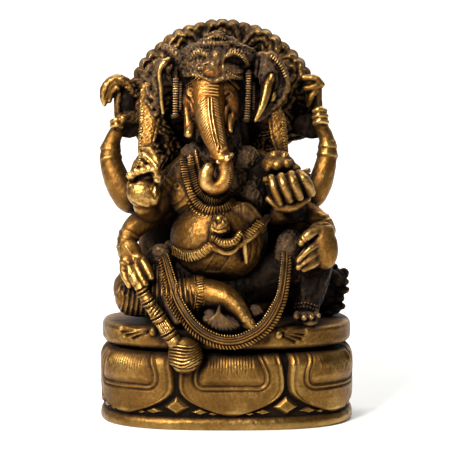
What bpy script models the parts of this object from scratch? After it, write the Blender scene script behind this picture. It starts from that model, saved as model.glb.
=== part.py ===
"""Seated four-square brass figurine of an elephant-headed deity on a lotus base, for Blender 4.5.

The statue is built the way its founder assembles it: a hollow lotus base, a seat slab with spigots, the
body, and the limbs, ornaments and attributes that are brazed on. Each piece is fitted to the ones before
it with a joint gap, and every piece is one closed solid. Lengths at the top are in millimetres.
"""

import math

import bmesh
import bpy
from mathutils import Matrix, Vector

MM = 0.001

# Joints
JOINT_GAP = 0.3  # left all round between brazed pieces
SPIGOT_RADIUS = 7.0
SPIGOT_RISE = 6.0  # stands above the seat, inside the body
SPIGOT_DROP = 1.7  # goes down into the top of the lotus base

# Lotus base
BASE_WIDTH = 92.6  # across the drum, petals left out
BASE_FRONT = 29.5  # from the widest section to the front
BASE_BACK = 19.5  # from the widest section to the back
BASE_HEIGHT = 28.6
BASE_WALL = 3.2
BASE_SQUARENESS = 2.7  # 2 is an ellipse, more is squarer
PLINTH_HEIGHT = 4.6
PLINTH_STEP = 1.7  # the plinth stands out from the drum
SHOULDER_RADIUS = 5.5
PETALS = 6
PETAL_THICKNESS = 1.5
PETAL_POINT_HEIGHT = 4.9  # of its lower point, above the ground
PETAL_ROUND_HEIGHT = 13.0  # over which it widens to its full width
PETAL_SPACING = 1.1  # between neighbours
PETAL_SHIFT = 1.8  # of the front petal's middle to the right
BUD_HALF_WIDTH = 4.6
BUD_HEIGHT = 6.0

# Seat slab
SEAT_GAP = 0.9  # the slot that shows under the slab
SEAT_THICKNESS = 8.2
SEAT_OVERHANG = 0.8  # beyond the drum
SEAT_EDGE = 1.6

# The base's widest section lies behind the origin, because the mace hangs in front of the base
WIDEST_SECTION_Y = 8.8

# The figure is drawn on a base of DRAWN_WIDTH and DRAWN_DEPTH, DRAWN_HEIGHT above the seat, and is
# stretched with the real base's width and depth and to FIGURE_HEIGHT
DRAWN_WIDTH = 92.6
DRAWN_DEPTH = 49.0
DRAWN_HEIGHT = 113.0
FIGURE_HEIGHT = 113.0
FIGURE_Y = 3.8
HALO_RADIUS = 37.0
HALO_X = -1.6
HALO_FRONT = 10.6  # behind the figure's middle
HALO_THICKNESS = 3.0
HALO_SCALLOP = 1.5
HALO_SCALLOPS = 30

SEAT_BOTTOM = BASE_HEIGHT + SEAT_GAP
SEAT_TOP = SEAT_BOTTOM + SEAT_THICKNESS
STRETCH_X = BASE_WIDTH / DRAWN_WIDTH
STRETCH_Y = (BASE_FRONT + BASE_BACK) / DRAWN_DEPTH
STRETCH_Z = FIGURE_HEIGHT / DRAWN_HEIGHT
PLAN_STEPS = 40
BOTTOM_MARGIN = 1.0  # how far a cutter runs past the face it opens

POLISHED = ("polished_brass", (0.72, 0.50, 0.20), 0.30)
AGED = ("aged_brass", (0.38, 0.27, 0.13), 0.45)
DARK = ("dark_brass", (0.16, 0.12, 0.08), 0.55)


def clear_scene():
    for found in list(bpy.data.objects):
        bpy.data.objects.remove(found)


def brass(finish):
    name, colour, roughness = finish
    made = bpy.data.materials.get(name)
    if made is None:
        made = bpy.data.materials.new(name)
        made.use_nodes = True
        shader = made.node_tree.nodes["Principled BSDF"]
        shader.inputs["Base Color"].default_value = (*colour, 1.0)
        shader.inputs["Metallic"].default_value = 1.0
        shader.inputs["Roughness"].default_value = roughness
    return made


def placed(shape):
    """Stretches a shape drawn as x to the right, y to the back and h above the seat, and seats it."""
    for vert in shape.verts:
        x, y, h = vert.co
        vert.co = (x * STRETCH_X, FIGURE_Y + y * STRETCH_Y, SEAT_TOP + h * STRETCH_Z)
    return shape


# ---- Shapes. Each returns a closed bmesh in millimetres, faces outward. ----


def closed_from_rings(rings, first_pole=None, last_pole=None):
    """Skins a list of equal rings of points, and closes each end with a pole or a flat face."""
    shape = bmesh.new()
    made = [[shape.verts.new(point) for point in ring] for ring in rings]
    count = len(made[0])
    for lower, upper in zip(made, made[1:]):
        for i in range(count):
            j = (i + 1) % count
            shape.faces.new((lower[i], lower[j], upper[j], upper[i]))
    for ring, pole in ((made[0], first_pole), (made[-1], last_pole)):
        if pole is None:
            shape.faces.new(ring)
            continue
        tip = shape.verts.new(pole)
        for i in range(count):
            shape.faces.new((ring[i], ring[(i + 1) % count], tip))
    bmesh.ops.recalc_face_normals(shape, faces=shape.faces[:])
    return shape


def smoothed(points, steps):
    """Points read from a smooth curve through rows of numbers."""
    rows = [Vector(point) for point in points]
    ends = [2 * rows[0] - rows[1], *rows, 2 * rows[-1] - rows[-2]]
    found = []
    for a, b, c, d in zip(ends, ends[1:], ends[2:], ends[3:]):
        for step in range(steps):
            t = step / steps
            found.append(
                0.5 * ((2 * b) + (c - a) * t + (2 * a - 5 * b + 4 * c - d) * t * t
                       + (3 * b - a - 3 * c + d) * t * t * t)
            )
    return [*found, rows[-1]]


def limb(points, flatness=1.0, thin=(0, 1, 0), sides=8, steps=2):
    """A round-ended tapered tube through drawn points (x, y, h, radius).

    flatness is the thickness along thin as a share of the width.
    """
    # A four-number Vector carries the radius through the smoothing.
    rows = smoothed(points, steps)
    centres = [Vector(row[:3]) for row in rows]
    radii = [row[3] for row in rows]
    rings = []
    thin_axis = Vector(thin)
    for i, centre in enumerate(centres):
        along = (centres[min(i + 1, len(centres) - 1)] - centres[max(i - 1, 0)]).normalized()
        thin_axis = (thin_axis - along * thin_axis.dot(along)).normalized()
        wide_axis = along.cross(thin_axis)
        domes = [(0.0, 1.0)]
        if i == 0:
            domes = [(-0.8, 0.6), (-0.4, 0.92), (0.0, 1.0)]
        if i == len(centres) - 1:
            domes = [(0.0, 1.0), (0.4, 0.92), (0.8, 0.6)]
        for shift, share in domes:
            middle = centre + along * shift * radii[i]
            rings.append([
                middle
                + wide_axis * math.cos(turn) * radii[i] * share
                + thin_axis * math.sin(turn) * radii[i] * share * flatness
                for turn in (math.tau * k / sides for k in range(sides))
            ])
        if i == 0:
            first_pole = centre - along * radii[i]
        if i == len(centres) - 1:
            last_pole = centre + along * radii[i]
    return placed(closed_from_rings(rings, first_pole, last_pole))


def lump(centre, radii, turn=(0, 0, 0), sides=10):
    """An ellipsoid about a drawn point; turn is in degrees about X, Y and Z."""
    shape = bmesh.new()
    place = Matrix.Translation(Vector(centre))
    for angle, axis in zip(turn, "XYZ"):
        place = place @ Matrix.Rotation(math.radians(angle), 4, axis)
    size = Matrix.Diagonal([*radii, 1.0])
    rows = sides // 2 + 1
    bmesh.ops.create_uvsphere(shape, u_segments=sides, v_segments=rows, radius=1.0, matrix=place @ size)
    return placed(shape)


def turned(centre, profile, sides=16):
    """A solid of revolution about a vertical axis through centre (mm), from (radius, height) rows."""
    rings = [
        [
            Vector(centre) + Vector((r * math.cos(a), r * math.sin(a), z))
            for a in (math.tau * k / sides for k in range(sides))
        ]
        for r, z in profile
    ]
    return closed_from_rings(rings)


def plate(outline, front, back):
    """A flat plate with this outline of (x, height) points, between two depths."""
    return closed_from_rings([[Vector((x, y, z)) for x, z in outline] for y in (front, back)])


# ---- The base's plan ----


def plan(angle, out=0.0):
    """A point of the base's plan, in mm. The angle runs from the right, and out is measured outward."""
    power = 2.0 / BASE_SQUARENESS
    c, s = math.cos(angle), math.sin(angle)
    depth = (BASE_BACK if s > 0 else BASE_FRONT) + out
    x = math.copysign(abs(c) ** power, c) * (BASE_WIDTH / 2 + out)
    y = math.copysign(abs(s) ** power, s) * depth
    return Vector((x, WIDEST_SECTION_Y + y, 0.0))


def plan_ring(z, out, steps=PLAN_STEPS):
    """One level ring of the base, its points evenly spread along the outline."""
    return [along_plan(k / steps, out) + Vector((0, 0, z)) for k in range(steps)]


def plan_table():
    """Angles at even steps, with the distance run along the outline up to each."""
    count = 720
    angles = [-math.pi / 2 + math.tau * k / count for k in range(count + 1)]
    run = [0.0]
    for a, b in zip(angles, angles[1:]):
        run.append(run[-1] + (plan(b) - plan(a)).length)
    return angles, run


PLAN_ANGLES, PLAN_RUN = plan_table()


def along_plan(share, out=0.0):
    """The plan's point at this share of the way round, counted from the middle of the front."""
    wanted = (share % 1.0) * PLAN_RUN[-1]
    low, high = 0, len(PLAN_RUN) - 1
    while high - low > 1:
        middle = (low + high) // 2
        if PLAN_RUN[middle] <= wanted:
            low = middle
        else:
            high = middle
    t = (wanted - PLAN_RUN[low]) / (PLAN_RUN[high] - PLAN_RUN[low])
    return plan(PLAN_ANGLES[low] + t * (PLAN_ANGLES[high] - PLAN_ANGLES[low]), out)


def drum(levels, steps=PLAN_STEPS):
    """A solid on the base's plan from (height, out) rows."""
    return closed_from_rings([plan_ring(z, out, steps) for z, out in levels])


def drum_shoulder(top, inset=0.0):
    """(height, out) rows that round off the drum's top edge."""
    radius = SHOULDER_RADIUS
    turns = [math.radians(a) for a in (0, 30, 60, 85)]
    return [
        (top - radius + radius * math.sin(a), -inset - radius + radius * math.cos(a))
        for a in turns
    ]


def petal(middle_share, half_width, point_z, round_height, top_z, thickness, across=6, up=5):
    """A shield-shaped petal lying on the drum, its point down."""
    half_share = half_width / PLAN_RUN[-1]
    shape = bmesh.new()
    skins = []
    for inner in (True, False):
        rows = []
        for j in range(up + 1):
            rise = (j / up) ** 1.5
            z = point_z + (top_z - point_z) * rise
            q = min(1.0, (z - point_z) / round_height)
            width = max(0.12, 1.0 - (1.0 - q) ** 2.5)
            row = []
            for i in range(across + 1):
                p = 2.0 * i / across - 1.0
                swell = 0.55 + 0.45 * (1.0 - p * p)
                out = -1.0 if inner else thickness * swell
                shoulder = max(0.0, z - (BASE_HEIGHT - SHOULDER_RADIUS)) / SHOULDER_RADIUS
                out -= SHOULDER_RADIUS * (1.0 - math.sqrt(max(0.0, 1.0 - shoulder * shoulder)))
                place = along_plan(middle_share + p * width * half_share, out)
                row.append(shape.verts.new(place + Vector((0, 0, z))))
            rows.append(row)
        skins.append(rows)
    for rows in skins:
        for j in range(up):
            for i in range(across):
                shape.faces.new((rows[j][i], rows[j][i + 1], rows[j + 1][i + 1], rows[j + 1][i]))
    inner, outer = skins
    for j in range(up):
        for i in (0, across):
            shape.faces.new((inner[j][i], inner[j + 1][i], outer[j + 1][i], outer[j][i]))
    for i in range(across):
        for j in (0, up):
            shape.faces.new((inner[j][i], inner[j][i + 1], outer[j][i + 1], outer[j][i]))
    bmesh.ops.recalc_face_normals(shape, faces=shape.faces[:])
    return shape


# ---- Fitting pieces together ----


def hidden_object(name, shape):
    """A helper that isn't part of the statue. Its mesh is in metres."""
    mesh = bpy.data.meshes.new(name)
    copy = shape.copy()
    bmesh.ops.scale(copy, vec=(MM, MM, MM), verts=copy.verts[:])
    copy.to_mesh(mesh)
    copy.free()
    made = bpy.data.objects.new(name, mesh)
    bpy.context.scene.collection.objects.link(made)
    made.hide_render = True
    made.display_type = "WIRE"
    return made


def grown(shape, by):
    """The shape with every face moved outward by this many mm."""
    copy = shape.copy()
    copy.normal_update()
    moved = [vert.normal * vert.calc_shell_factor() * by for vert in copy.verts]
    for vert, step in zip(copy.verts, moved):
        vert.co += step
    return copy


def box_of(shape):
    points = [vert.co for vert in shape.verts]
    low = Vector([min(p[k] for p in points) for k in range(3)])
    high = Vector([max(p[k] for p in points) for k in range(3)])
    return low, high


def boxes_meet(a, b, margin):
    return all(a[0][k] - margin < b[1][k] and b[0][k] - margin < a[1][k] for k in range(3))


def largest_body(shape):
    """Removes every loose fragment but the largest body."""
    shape.verts.ensure_lookup_table()
    seen = set()
    bodies = []
    for start in shape.verts:
        if start in seen:
            continue
        body, waiting = set(), [start]
        while waiting:
            vert = waiting.pop()
            if vert in body:
                continue
            body.add(vert)
            waiting += [edge.other_vert(vert) for edge in vert.link_edges]
        seen |= body
        bodies.append(body)
    keep = max(bodies, key=lambda body: spread(body))
    spare = [vert for body in bodies if body is not keep for vert in body]
    bmesh.ops.delete(shape, geom=spare, context="VERTS")


def spread(body):
    points = [vert.co for vert in body]
    sides = [max(p[k] for p in points) - min(p[k] for p in points) for k in range(3)]
    return sides[0] * sides[1] * sides[2]


class Statue:
    """The pieces made so far, in the order in which they are fitted."""

    def __init__(self):
        self.solids = []  # the shapes of every piece, uncut, in mm

    def add(self, name, finish, shapes, cuts=()):
        """Makes one named piece: its shapes joined, less its own cuts and what the earlier pieces need."""
        helpers = []
        piece = hidden_object(name, shapes[0])
        piece.hide_render = False
        piece.display_type = "TEXTURED"
        for extra in shapes[1:]:
            helpers.append(self.boolean(piece, extra, "UNION"))
        for cut in cuts:
            helpers.append(self.boolean(piece, cut, "DIFFERENCE"))
        for others in self.solids:
            for shape in others:
                if any(boxes_meet(box_of(shape), box_of(own), JOINT_GAP) for own in shapes):
                    helpers.append(self.boolean(piece, grown(shape, JOINT_GAP), "DIFFERENCE"))
        self.settle(piece, helpers)
        piece.data.materials.clear()
        piece.data.materials.append(brass(finish))
        piece.data.shade_smooth()
        piece.data.set_sharp_from_angle(angle=math.radians(40))
        self.solids.append(shapes)
        return piece

    def boolean(self, piece, shape, operation):
        helper = hidden_object(f"{piece.name}_helper", shape)
        modifier = piece.modifiers.new(operation.title(), "BOOLEAN")
        modifier.operation = operation
        modifier.solver = "EXACT"
        modifier.object = helper
        return helper

    def settle(self, piece, helpers):
        """Applies the piece's Booleans, and leaves its largest body."""
        shape = bmesh.new()
        shape.from_mesh(piece.data)
        for careful in (False, True):
            if not helpers:
                break
            for modifier in piece.modifiers:
                modifier.use_self = careful
            graph = bpy.context.evaluated_depsgraph_get()
            shape.clear()
            shape.from_object(piece, graph)
            if shape.faces and all(edge.is_manifold for edge in shape.edges):
                break
        piece.modifiers.clear()
        bmesh.ops.remove_doubles(shape, verts=shape.verts[:], dist=0.01 * MM)
        largest_body(shape)
        bmesh.ops.dissolve_degenerate(shape, edges=shape.edges[:], dist=0.005 * MM)
        shape.to_mesh(piece.data)
        shape.free()
        for helper in helpers:
            bpy.data.objects.remove(helper)


# ---- The base ----


def spigot(radius, low, high):
    return turned((0.0, FIGURE_Y, 0.0), [(radius, low), (radius, high)], sides=16)


def add_base(statue):
    edge = SEAT_EDGE
    levels = [
        (SEAT_BOTTOM, SEAT_OVERHANG - 2 * edge),
        (SEAT_BOTTOM + 0.3 * edge, SEAT_OVERHANG - 0.5 * edge),
        (SEAT_BOTTOM + edge, SEAT_OVERHANG),
        (SEAT_TOP - edge, SEAT_OVERHANG),
        (SEAT_TOP - 0.3 * edge, SEAT_OVERHANG - 0.3 * edge),
        (SEAT_TOP, SEAT_OVERHANG - edge),
    ]
    seat = drum(levels)
    rod = spigot(SPIGOT_RADIUS, BASE_HEIGHT - SPIGOT_DROP, SEAT_TOP + SPIGOT_RISE)
    # A low pad on the drum carries the slab and leaves the slot that shows all round.
    statue.add("seat_slab", AGED, [seat, rod])

    outer = [(0.6, 0.0), (0.6 + PLINTH_HEIGHT, 0.0), *drum_shoulder(BASE_HEIGHT)]
    pad = drum([(BASE_HEIGHT - 1.0, -9.0), (SEAT_BOTTOM - JOINT_GAP, -9.0)])
    roof = BASE_HEIGHT - BASE_WALL
    hollow = drum([(-BOTTOM_MARGIN, -BASE_WALL), *drum_shoulder(roof, BASE_WALL)])
    statue.add("lotus_drum", AGED, [drum(outer), pad], cuts=[hollow])

    half = PLINTH_HEIGHT / 2
    ring = [
        (0.0, PLINTH_STEP * 0.4),
        (0.25 * half, PLINTH_STEP * 0.8),
        (half, PLINTH_STEP),
        (1.7 * half, PLINTH_STEP * 0.7),
        (PLINTH_HEIGHT, 0.0),
        (PLINTH_HEIGHT, -BASE_WALL / 2),
    ]
    bore = drum([(-BOTTOM_MARGIN, -BASE_WALL), (PLINTH_HEIGHT + BOTTOM_MARGIN, -BASE_WALL)])
    statue.add("plinth_ring", POLISHED, [drum(ring)], cuts=[bore])


def add_petals(statue):
    share = 1.0 / PETALS
    first = PETAL_SHIFT / PLAN_RUN[-1]
    half_width = PLAN_RUN[-1] * share / 2 - PETAL_SPACING / 2
    top = BASE_HEIGHT - SHOULDER_RADIUS * 0.25
    for k in range(PETALS):
        shape = petal(first + k * share, half_width, PETAL_POINT_HEIGHT, PETAL_ROUND_HEIGHT, top, PETAL_THICKNESS)
        statue.add(f"petal_{k + 1}", POLISHED, [shape])
    for k in range(PETALS):
        middle = first + (k + 0.5) * share
        shape = petal(
            middle, BUD_HALF_WIDTH, PETAL_POINT_HEIGHT, BUD_HEIGHT * 0.8,
            PETAL_POINT_HEIGHT + BUD_HEIGHT, PETAL_THICKNESS * 0.8, across=4, up=2,
        )
        statue.add(f"petal_bud_{k + 1}", POLISHED, [shape])


# ---- The figure ----


def add_body(statue):
    statue.add("torso", POLISHED, [
        lump((-1.3, -3.5, 31.5), (19.0, 15.0, 17.0), sides=16),
        lump((-0.5, -0.5, 51.0), (16.5, 9.8, 14.0), sides=12),
        lump((-1.0, 1.0, 8.0), (20.0, 10.0, 12.0), sides=12),
        limb([(-2.0, -0.5, 58.0, 7.5), (-3.5, -1.0, 74.0, 8.0)], sides=12),
    ])
    statue.add("head", AGED, [
        lump((-4.5, -0.5, 84.0), (13.6, 12.0, 15.5), sides=14),
        lump((-11.5, -8.5, 75.0), (5.0, 5.0, 6.5)),
        lump((3.0, -8.5, 75.0), (5.0, 5.0, 6.5)),
    ])
    statue.add("trunk", POLISHED, [limb([
        (-4.8, -8.5, 86.0, 7.6), (-4.4, -14.0, 78.0, 6.6), (-3.1, -17.5, 70.0, 5.4),
        (-0.4, -18.3, 63.0, 4.3), (1.6, -18.8, 58.0, 3.8), (1.2, -19.2, 53.4, 3.7),
        (-2.2, -19.5, 50.6, 3.7), (-5.8, -19.6, 52.6, 3.5), (-6.4, -19.8, 57.6, 3.1),
    ], sides=12)])
    statue.add("tusk_right", POLISHED, [limb([(-10.5, -12.5, 74.5, 1.9), (-12.8, -16.2, 70.3, 1.5)], sides=6)])
    statue.add("tusk_left", POLISHED, [limb([(2.8, -12.5, 76.5, 1.9), (3.8, -16.6, 70.5, 1.2)], sides=6)])
    statue.add("crown", AGED, [
        lump((-3.5, 0.5, 97.5), (12.5, 11.5, 8.2), sides=14),
        lump((-2.5, -1.0, 104.0), (6.5, 6.5, 4.0)),
    ])


def add_ears(statue):
    statue.add("ear_right", AGED, [limb([
        (-21.0, -1.0, 94.0, 4.5), (-24.8, -2.0, 88.0, 6.2), (-25.8, -2.5, 80.0, 5.6), (-24.0, -3.0, 73.5, 2.8),
    ], flatness=0.42, thin=(0.55, 0.8, 0.0))])
    statue.add("ear_left", AGED, [limb([
        (12.5, -1.0, 94.0, 4.5), (17.4, -2.0, 89.0, 6.6), (18.4, -2.5, 81.0, 6.0), (15.6, -3.0, 73.5, 2.8),
    ], flatness=0.42, thin=(-0.25, 0.95, 0.0))])


def halo_outline(radius):
    """(x, h) points of the halo: a scalloped round, cut in below to a stem that reaches the seat."""
    centre_h = 74.7
    points = []
    first, last = math.radians(-16), math.radians(196)
    count = HALO_SCALLOPS * 2
    for k in range(count + 1):
        angle = first + (last - first) * k / count
        wave = abs(math.sin(math.pi * HALO_SCALLOPS * k / count))
        r = radius + HALO_SCALLOP * wave
        points.append((HALO_X + r * math.cos(angle), centre_h + r * math.sin(angle)))
    left = [(-22.0, 60.5), (-21.0, 54.0), (-28.5, 46.0), (-32.5, 35.0), (-32.5, 16.0), (-26.0, 4.0), (-18.0, 0.0)]
    right = [(18.0, 0.0), (26.0, 4.0), (32.5, 16.0), (32.5, 37.0), (27.5, 46.0), (20.5, 54.0), (21.0, 60.5)]
    return [*points, *left, *right]


def add_halo(statue):
    statue.add("halo_plate", DARK, [
        placed(plate(halo_outline(HALO_RADIUS), HALO_FRONT, HALO_FRONT + HALO_THICKNESS)),
    ])
    arch = [(HALO_X + 26.5 * math.cos(a), 9.2, 80.0 + 26.5 * math.sin(a), 2.6)
            for a in (math.radians(d) for d in range(-5, 186, 19))]
    statue.add("halo_petal_band", AGED, [limb(arch, flatness=0.6, steps=1)])


def add_arms(statue):
    statue.add("back_arm_right", POLISHED, [
        limb([(-13.0, 3.0, 58.0, 6.0), (-24.0, 4.0, 50.0, 5.2), (-34.6, 3.0, 45.5, 5.2), (-38.6, 3.0, 50.0, 5.2),
              (-42.0, 4.0, 57.5, 4.6), (-43.0, 5.0, 63.0, 4.0), (-42.0, 5.5, 68.0, 3.4)]),
    ])
    statue.add("back_arm_left", POLISHED, [
        limb([(12.0, 3.0, 58.0, 6.0), (22.0, 4.0, 50.0, 5.2), (30.8, 3.0, 46.0, 4.8), (34.2, 3.0, 50.5, 4.8),
              (36.6, 4.0, 58.0, 4.3), (37.5, 5.0, 63.5, 3.9), (37.2, 5.5, 68.0, 3.3)]),
    ])
    statue.add("back_hand_right", POLISHED, [
        limb([(-41.0, 5.4, 70.0, 3.0), (-40.2, 4.8, 74.0, 3.6), (-39.4, 4.0, 77.2, 2.8)]),
    ])
    statue.add("back_hand_left", POLISHED, [
        limb([(36.0, 5.4, 70.0, 3.0), (35.4, 4.8, 74.0, 3.6), (34.6, 4.0, 77.2, 2.8)]),
    ])
    statue.add("goad", AGED, [
        limb([(-40.0, 4.6, 76.0, 1.9), (-39.4, 4.6, 87.0, 2.2)], sides=6),
        limb([(-44.8, 4.0, 81.4, 1.9), (-43.8, 4.2, 86.2, 2.4), (-39.6, 4.6, 89.4, 2.6), (-35.6, 5.2, 88.0, 2.4),
              (-33.0, 6.0, 83.4, 1.9)], sides=6),
    ])
    statue.add("axe", AGED, [
        limb([(34.6, 4.6, 76.0, 1.8), (33.6, 4.6, 87.0, 2.0)], sides=6),
        limb([(33.4, 4.6, 87.6, 2.6), (28.4, 4.6, 86.0, 3.0)], flatness=0.5, sides=6),
    ])
    statue.add("middle_arm_right", POLISHED, [
        limb([(-13.0, -2.5, 56.0, 6.0), (-22.0, -2.2, 47.4, 5.2), (-28.0, -5.0, 42.2, 4.8), (-29.2, -10.2, 43.6, 3.8)]),
    ])
    statue.add("middle_arm_left", POLISHED, [
        limb([(12.0, -2.5, 56.0, 6.0), (19.0, -2.4, 48.5, 5.2), (24.2, -4.4, 43.6, 4.4), (26.4, -7.6, 41.0, 3.4)]),
    ])
    statue.add("lower_arm_right", POLISHED, [
        limb([(-22.0, 1.0, 40.0, 4.4), (-29.5, -3.0, 37.5, 4.0), (-34.0, -7.0, 34.6, 3.5), (-36.2, -9.0, 29.8, 3.0)]),
    ])
    statue.add("lower_arm_left", POLISHED, [
        limb([(19.0, 0.0, 40.0, 4.6), (27.0, -3.0, 41.0, 4.3), (32.5, -5.5, 38.6, 3.7), (36.0, -7.6, 35.0, 3.2)]),
    ])


def fingers(starts, ends, radius):
    """Four tapering fingers between two rows of points."""
    return [
        limb([(*start, radius), (*[(a + b) / 2 for a, b in zip(start, end)], radius * 0.95), (*end, radius * 0.7)],
             sides=6, steps=1)
        for start, end in zip(starts, ends)
    ]


def add_hands(statue):
    statue.add("blessing_hand", POLISHED, [
        lump((-27.6, -14.0, 48.5), (5.2, 3.4, 6.6), turn=(0, 18, 0)),
        *fingers([(-31.4, -14.8, 52.6), (-28.8, -15.2, 54.0), (-26.4, -15.4, 54.8), (-24.2, -15.2, 54.8)],
                 [(-31.6, -17.6, 54.4), (-28.8, -18.0, 56.4), (-26.0, -18.0, 57.4), (-23.4, -17.8, 56.8)], 1.5),
    ])
    statue.add("sweets_bowl", DARK, [
        placed(turned(
            (23.2, -14.5, 0.0), [(3.0, 41.6), (6.2, 43.0), (8.0, 47.0), (7.6, 51.5), (6.6, 53.2)], sides=14,
        )),
    ])
    statue.add("sweets_heap", AGED, [
        lump((21.6, -13.6, 56.0), (6.0, 5.4, 6.0)),
    ])
    statue.add("bowl_hand", POLISHED, [
        limb([(16.4, -21.4, 49.4, 1.6), (19.8, -23.0, 50.6, 1.7), (24.6, -23.2, 51.6, 1.8), (29.4, -21.2, 51.2, 1.7)],
             sides=6),
        *fingers([(16.8, -21.4, 49.8), (20.4, -23.0, 51.0), (24.8, -23.2, 51.8), (29.2, -21.2, 51.4)],
                 [(19.0, -19.4, 42.6), (22.6, -21.4, 43.4), (26.2, -21.4, 43.6), (30.8, -18.6, 45.0)], 1.7),
    ])
    statue.add("mace_hand", POLISHED, [
        lump((-36.2, -11.8, 24.2), (3.8, 2.8, 5.4), turn=(0, -8, 0)),
        *fingers([(-38.2, -13.0, 20.8), (-36.0, -13.8, 20.6), (-33.6, -14.2, 21.4), (-31.6, -13.6, 22.6)],
                 [(-34.6, -17.0, 14.4), (-32.2, -17.8, 13.4), (-29.8, -18.0, 14.2), (-28.4, -17.0, 17.0)], 1.35),
    ])
    statue.add("knee_hand", POLISHED, [
        lump((36.4, -13.2, 28.0), (5.4, 3.6, 6.4), turn=(0, 32, 0)),
        *fingers([(34.0, -16.0, 30.4), (32.6, -16.6, 25.6), (33.6, -16.6, 23.2), (35.4, -16.2, 21.2)],
                 [(28.0, -16.2, 26.6), (26.6, -17.0, 19.4), (27.8, -17.2, 17.4), (30.6, -16.6, 16.0)], 1.6),
    ])


def add_legs(statue):
    statue.add("folded_leg", AGED, [
        limb([(-10.0, 0.0, 13.0, 10.0), (-24.0, -3.0, 12.0, 9.0), (-35.6, -5.0, 11.0, 7.4)], sides=10),
        limb([(-34.0, -8.0, 8.4, 6.4), (-20.0, -14.0, 9.0, 6.6), (-6.0, -18.0, 11.0, 6.0), (2.0, -22.0, 8.6, 4.6),
              (6.6, -25.0, 5.6, 3.0)], sides=10),
    ])
    statue.add("folded_foot", POLISHED, [
        limb([(7.0, -26.0, 4.0, 2.6), (9.4, -27.2, 1.2, 2.2), (11.0, -27.6, -1.0, 1.4)], flatness=0.8, sides=6),
    ])
    statue.add("raised_leg", AGED, [
        limb([(8.0, 0.0, 13.0, 9.6), (22.0, -3.0, 20.0, 9.0), (36.0, -6.0, 25.0, 7.2)], sides=10),
        limb([(36.0, -7.0, 24.0, 7.0), (33.0, -9.0, 13.0, 6.0), (29.5, -11.0, 5.0, 4.4)], sides=10),
    ])
    statue.add("raised_foot", AGED, [
        limb([(28.8, -11.0, 3.0, 3.2), (29.4, -15.0, 2.8, 3.6), (30.4, -19.0, 1.8, 3.4)], flatness=0.6,
             thin=(0, 0, 1), sides=10),
    ])
    statue.add("lap_cloth", DARK, [
        limb([(1.0, -4.0, 12.0, 15.0), (1.0, -15.0, 3.0, 12.5), (1.0, -21.0, -1.0, 7.0)], flatness=0.62,
             thin=(0, 0.6, 0.8), sides=12),
    ])


def add_dress(statue):
    statue.add("sash_loop", AGED, [limb([
        (-24.0, -12.0, 25.0, 2.4), (-22.0, -17.0, 17.5, 2.8), (-19.6, -23.0, 9.0, 3.0), (-13.0, -27.2, 0.8, 3.1),
        (0.5, -28.2, -4.6, 3.2), (14.4, -27.2, 1.2, 3.1), (20.4, -22.0, 10.3, 2.9), (22.2, -15.5, 21.0, 2.6),
        (22.6, -10.0, 29.0, 2.2),
    ], flatness=0.6, sides=6)])
    statue.add("snake_belt", POLISHED, [limb([
        (-19.8, -6.0, 27.0, 1.6), (-16.4, -12.5, 27.0, 2.0), (-9.0, -17.8, 26.6, 2.2), (-3.0, -19.6, 31.0, 2.2),
        (4.0, -19.2, 33.5, 2.2), (11.0, -15.4, 38.0, 2.0), (16.6, -8.0, 42.5, 1.6),
    ], sides=6)])
    statue.add("snake_head", POLISHED, [
        limb([(-3.2, -19.8, 33.4, 2.4), (-2.6, -20.6, 37.0, 3.4), (-1.6, -20.4, 40.4, 3.2)], flatness=0.6, sides=8),
        limb([(2.0, -20.4, 36.0, 1.7), (5.4, -19.8, 32.0, 1.7), (6.4, -19.0, 26.4, 1.5), (7.8, -17.2, 22.6, 0.9)],
             sides=6),
    ])
    statue.add("necklace", AGED, [limb([
        (-16.4, -6.0, 60.0, 1.8), (-12.4, -10.8, 53.6, 2.1), (-7.4, -14.4, 47.6, 2.3), (-1.4, -16.2, 45.6, 2.4),
        (4.8, -15.2, 48.0, 2.2), (11.0, -9.8, 54.6, 1.8),
    ], flatness=0.7, sides=6)])
    statue.add("shawl_right", AGED, [limb([
        (-26.4, -1.0, 83.0, 2.4), (-28.8, -3.0, 73.0, 2.9), (-30.0, -6.5, 62.0, 2.6), (-30.2, -9.5, 57.0, 1.8),
    ], flatness=0.4, sides=6)])
    statue.add("shawl_left", AGED, [limb([
        (19.6, -2.0, 76.0, 2.0), (22.0, -4.0, 70.0, 2.8), (24.0, -7.0, 62.0, 2.6), (24.6, -9.0, 58.0, 1.8),
    ], flatness=0.4, sides=6)])


def add_attributes(statue):
    statue.add("mace_shaft", POLISHED, [limb([
        (-33.6, -18.4, 17.0, 2.0), (-28.6, -22.4, 9.5, 2.3), (-23.4, -26.2, 2.4, 2.7), (-18.4, -29.4, -4.2, 2.6),
    ], flatness=0.8)])
    statue.add("mace_head", POLISHED, [lump((-14.9, -27.6, -9.0), (6.6, 6.4, 6.4), sides=12)])
    statue.add("mouse", DARK, [
        lump((38.0, 10.0, 7.0), (5.2, 6.6, 7.4)),
        lump((41.6, 7.0, 14.0), (4.2, 4.4, 4.0)),
        lump((44.6, 7.6, 16.0), (2.6, 1.6, 2.6)),
        lump((43.8, 6.6, 9.6), (3.6, 2.4, 1.9)),
        lump((40.4, 6.4, 3.0), (3.4, 4.6, 2.6)),
    ])


def main():
    clear_scene()
    statue = Statue()
    add_base(statue)
    add_petals(statue)
    add_body(statue)
    add_ears(statue)
    add_halo(statue)
    add_legs(statue)
    add_arms(statue)
    add_hands(statue)
    add_dress(statue)
    add_attributes(statue)


main()
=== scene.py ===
"""Visual model of a seated brass figurine of an elephant-headed deity on a lotus base.

Every sub-assembly is a class that shapes its pieces in millimetres. Soft cast forms are built from tubes
and ellipsoids and fused into one skin, engraved work is pressed into that skin, and beads, ribs and
leaves are set along paths by Geometry Nodes. A last pass works out how worn or sheltered each point of
the surface is, and the brass finishes read that: sheltered points are darkened, as patina in the hollows
and as painted shade in the deep gaps between parts.
"""

from __future__ import annotations

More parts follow.
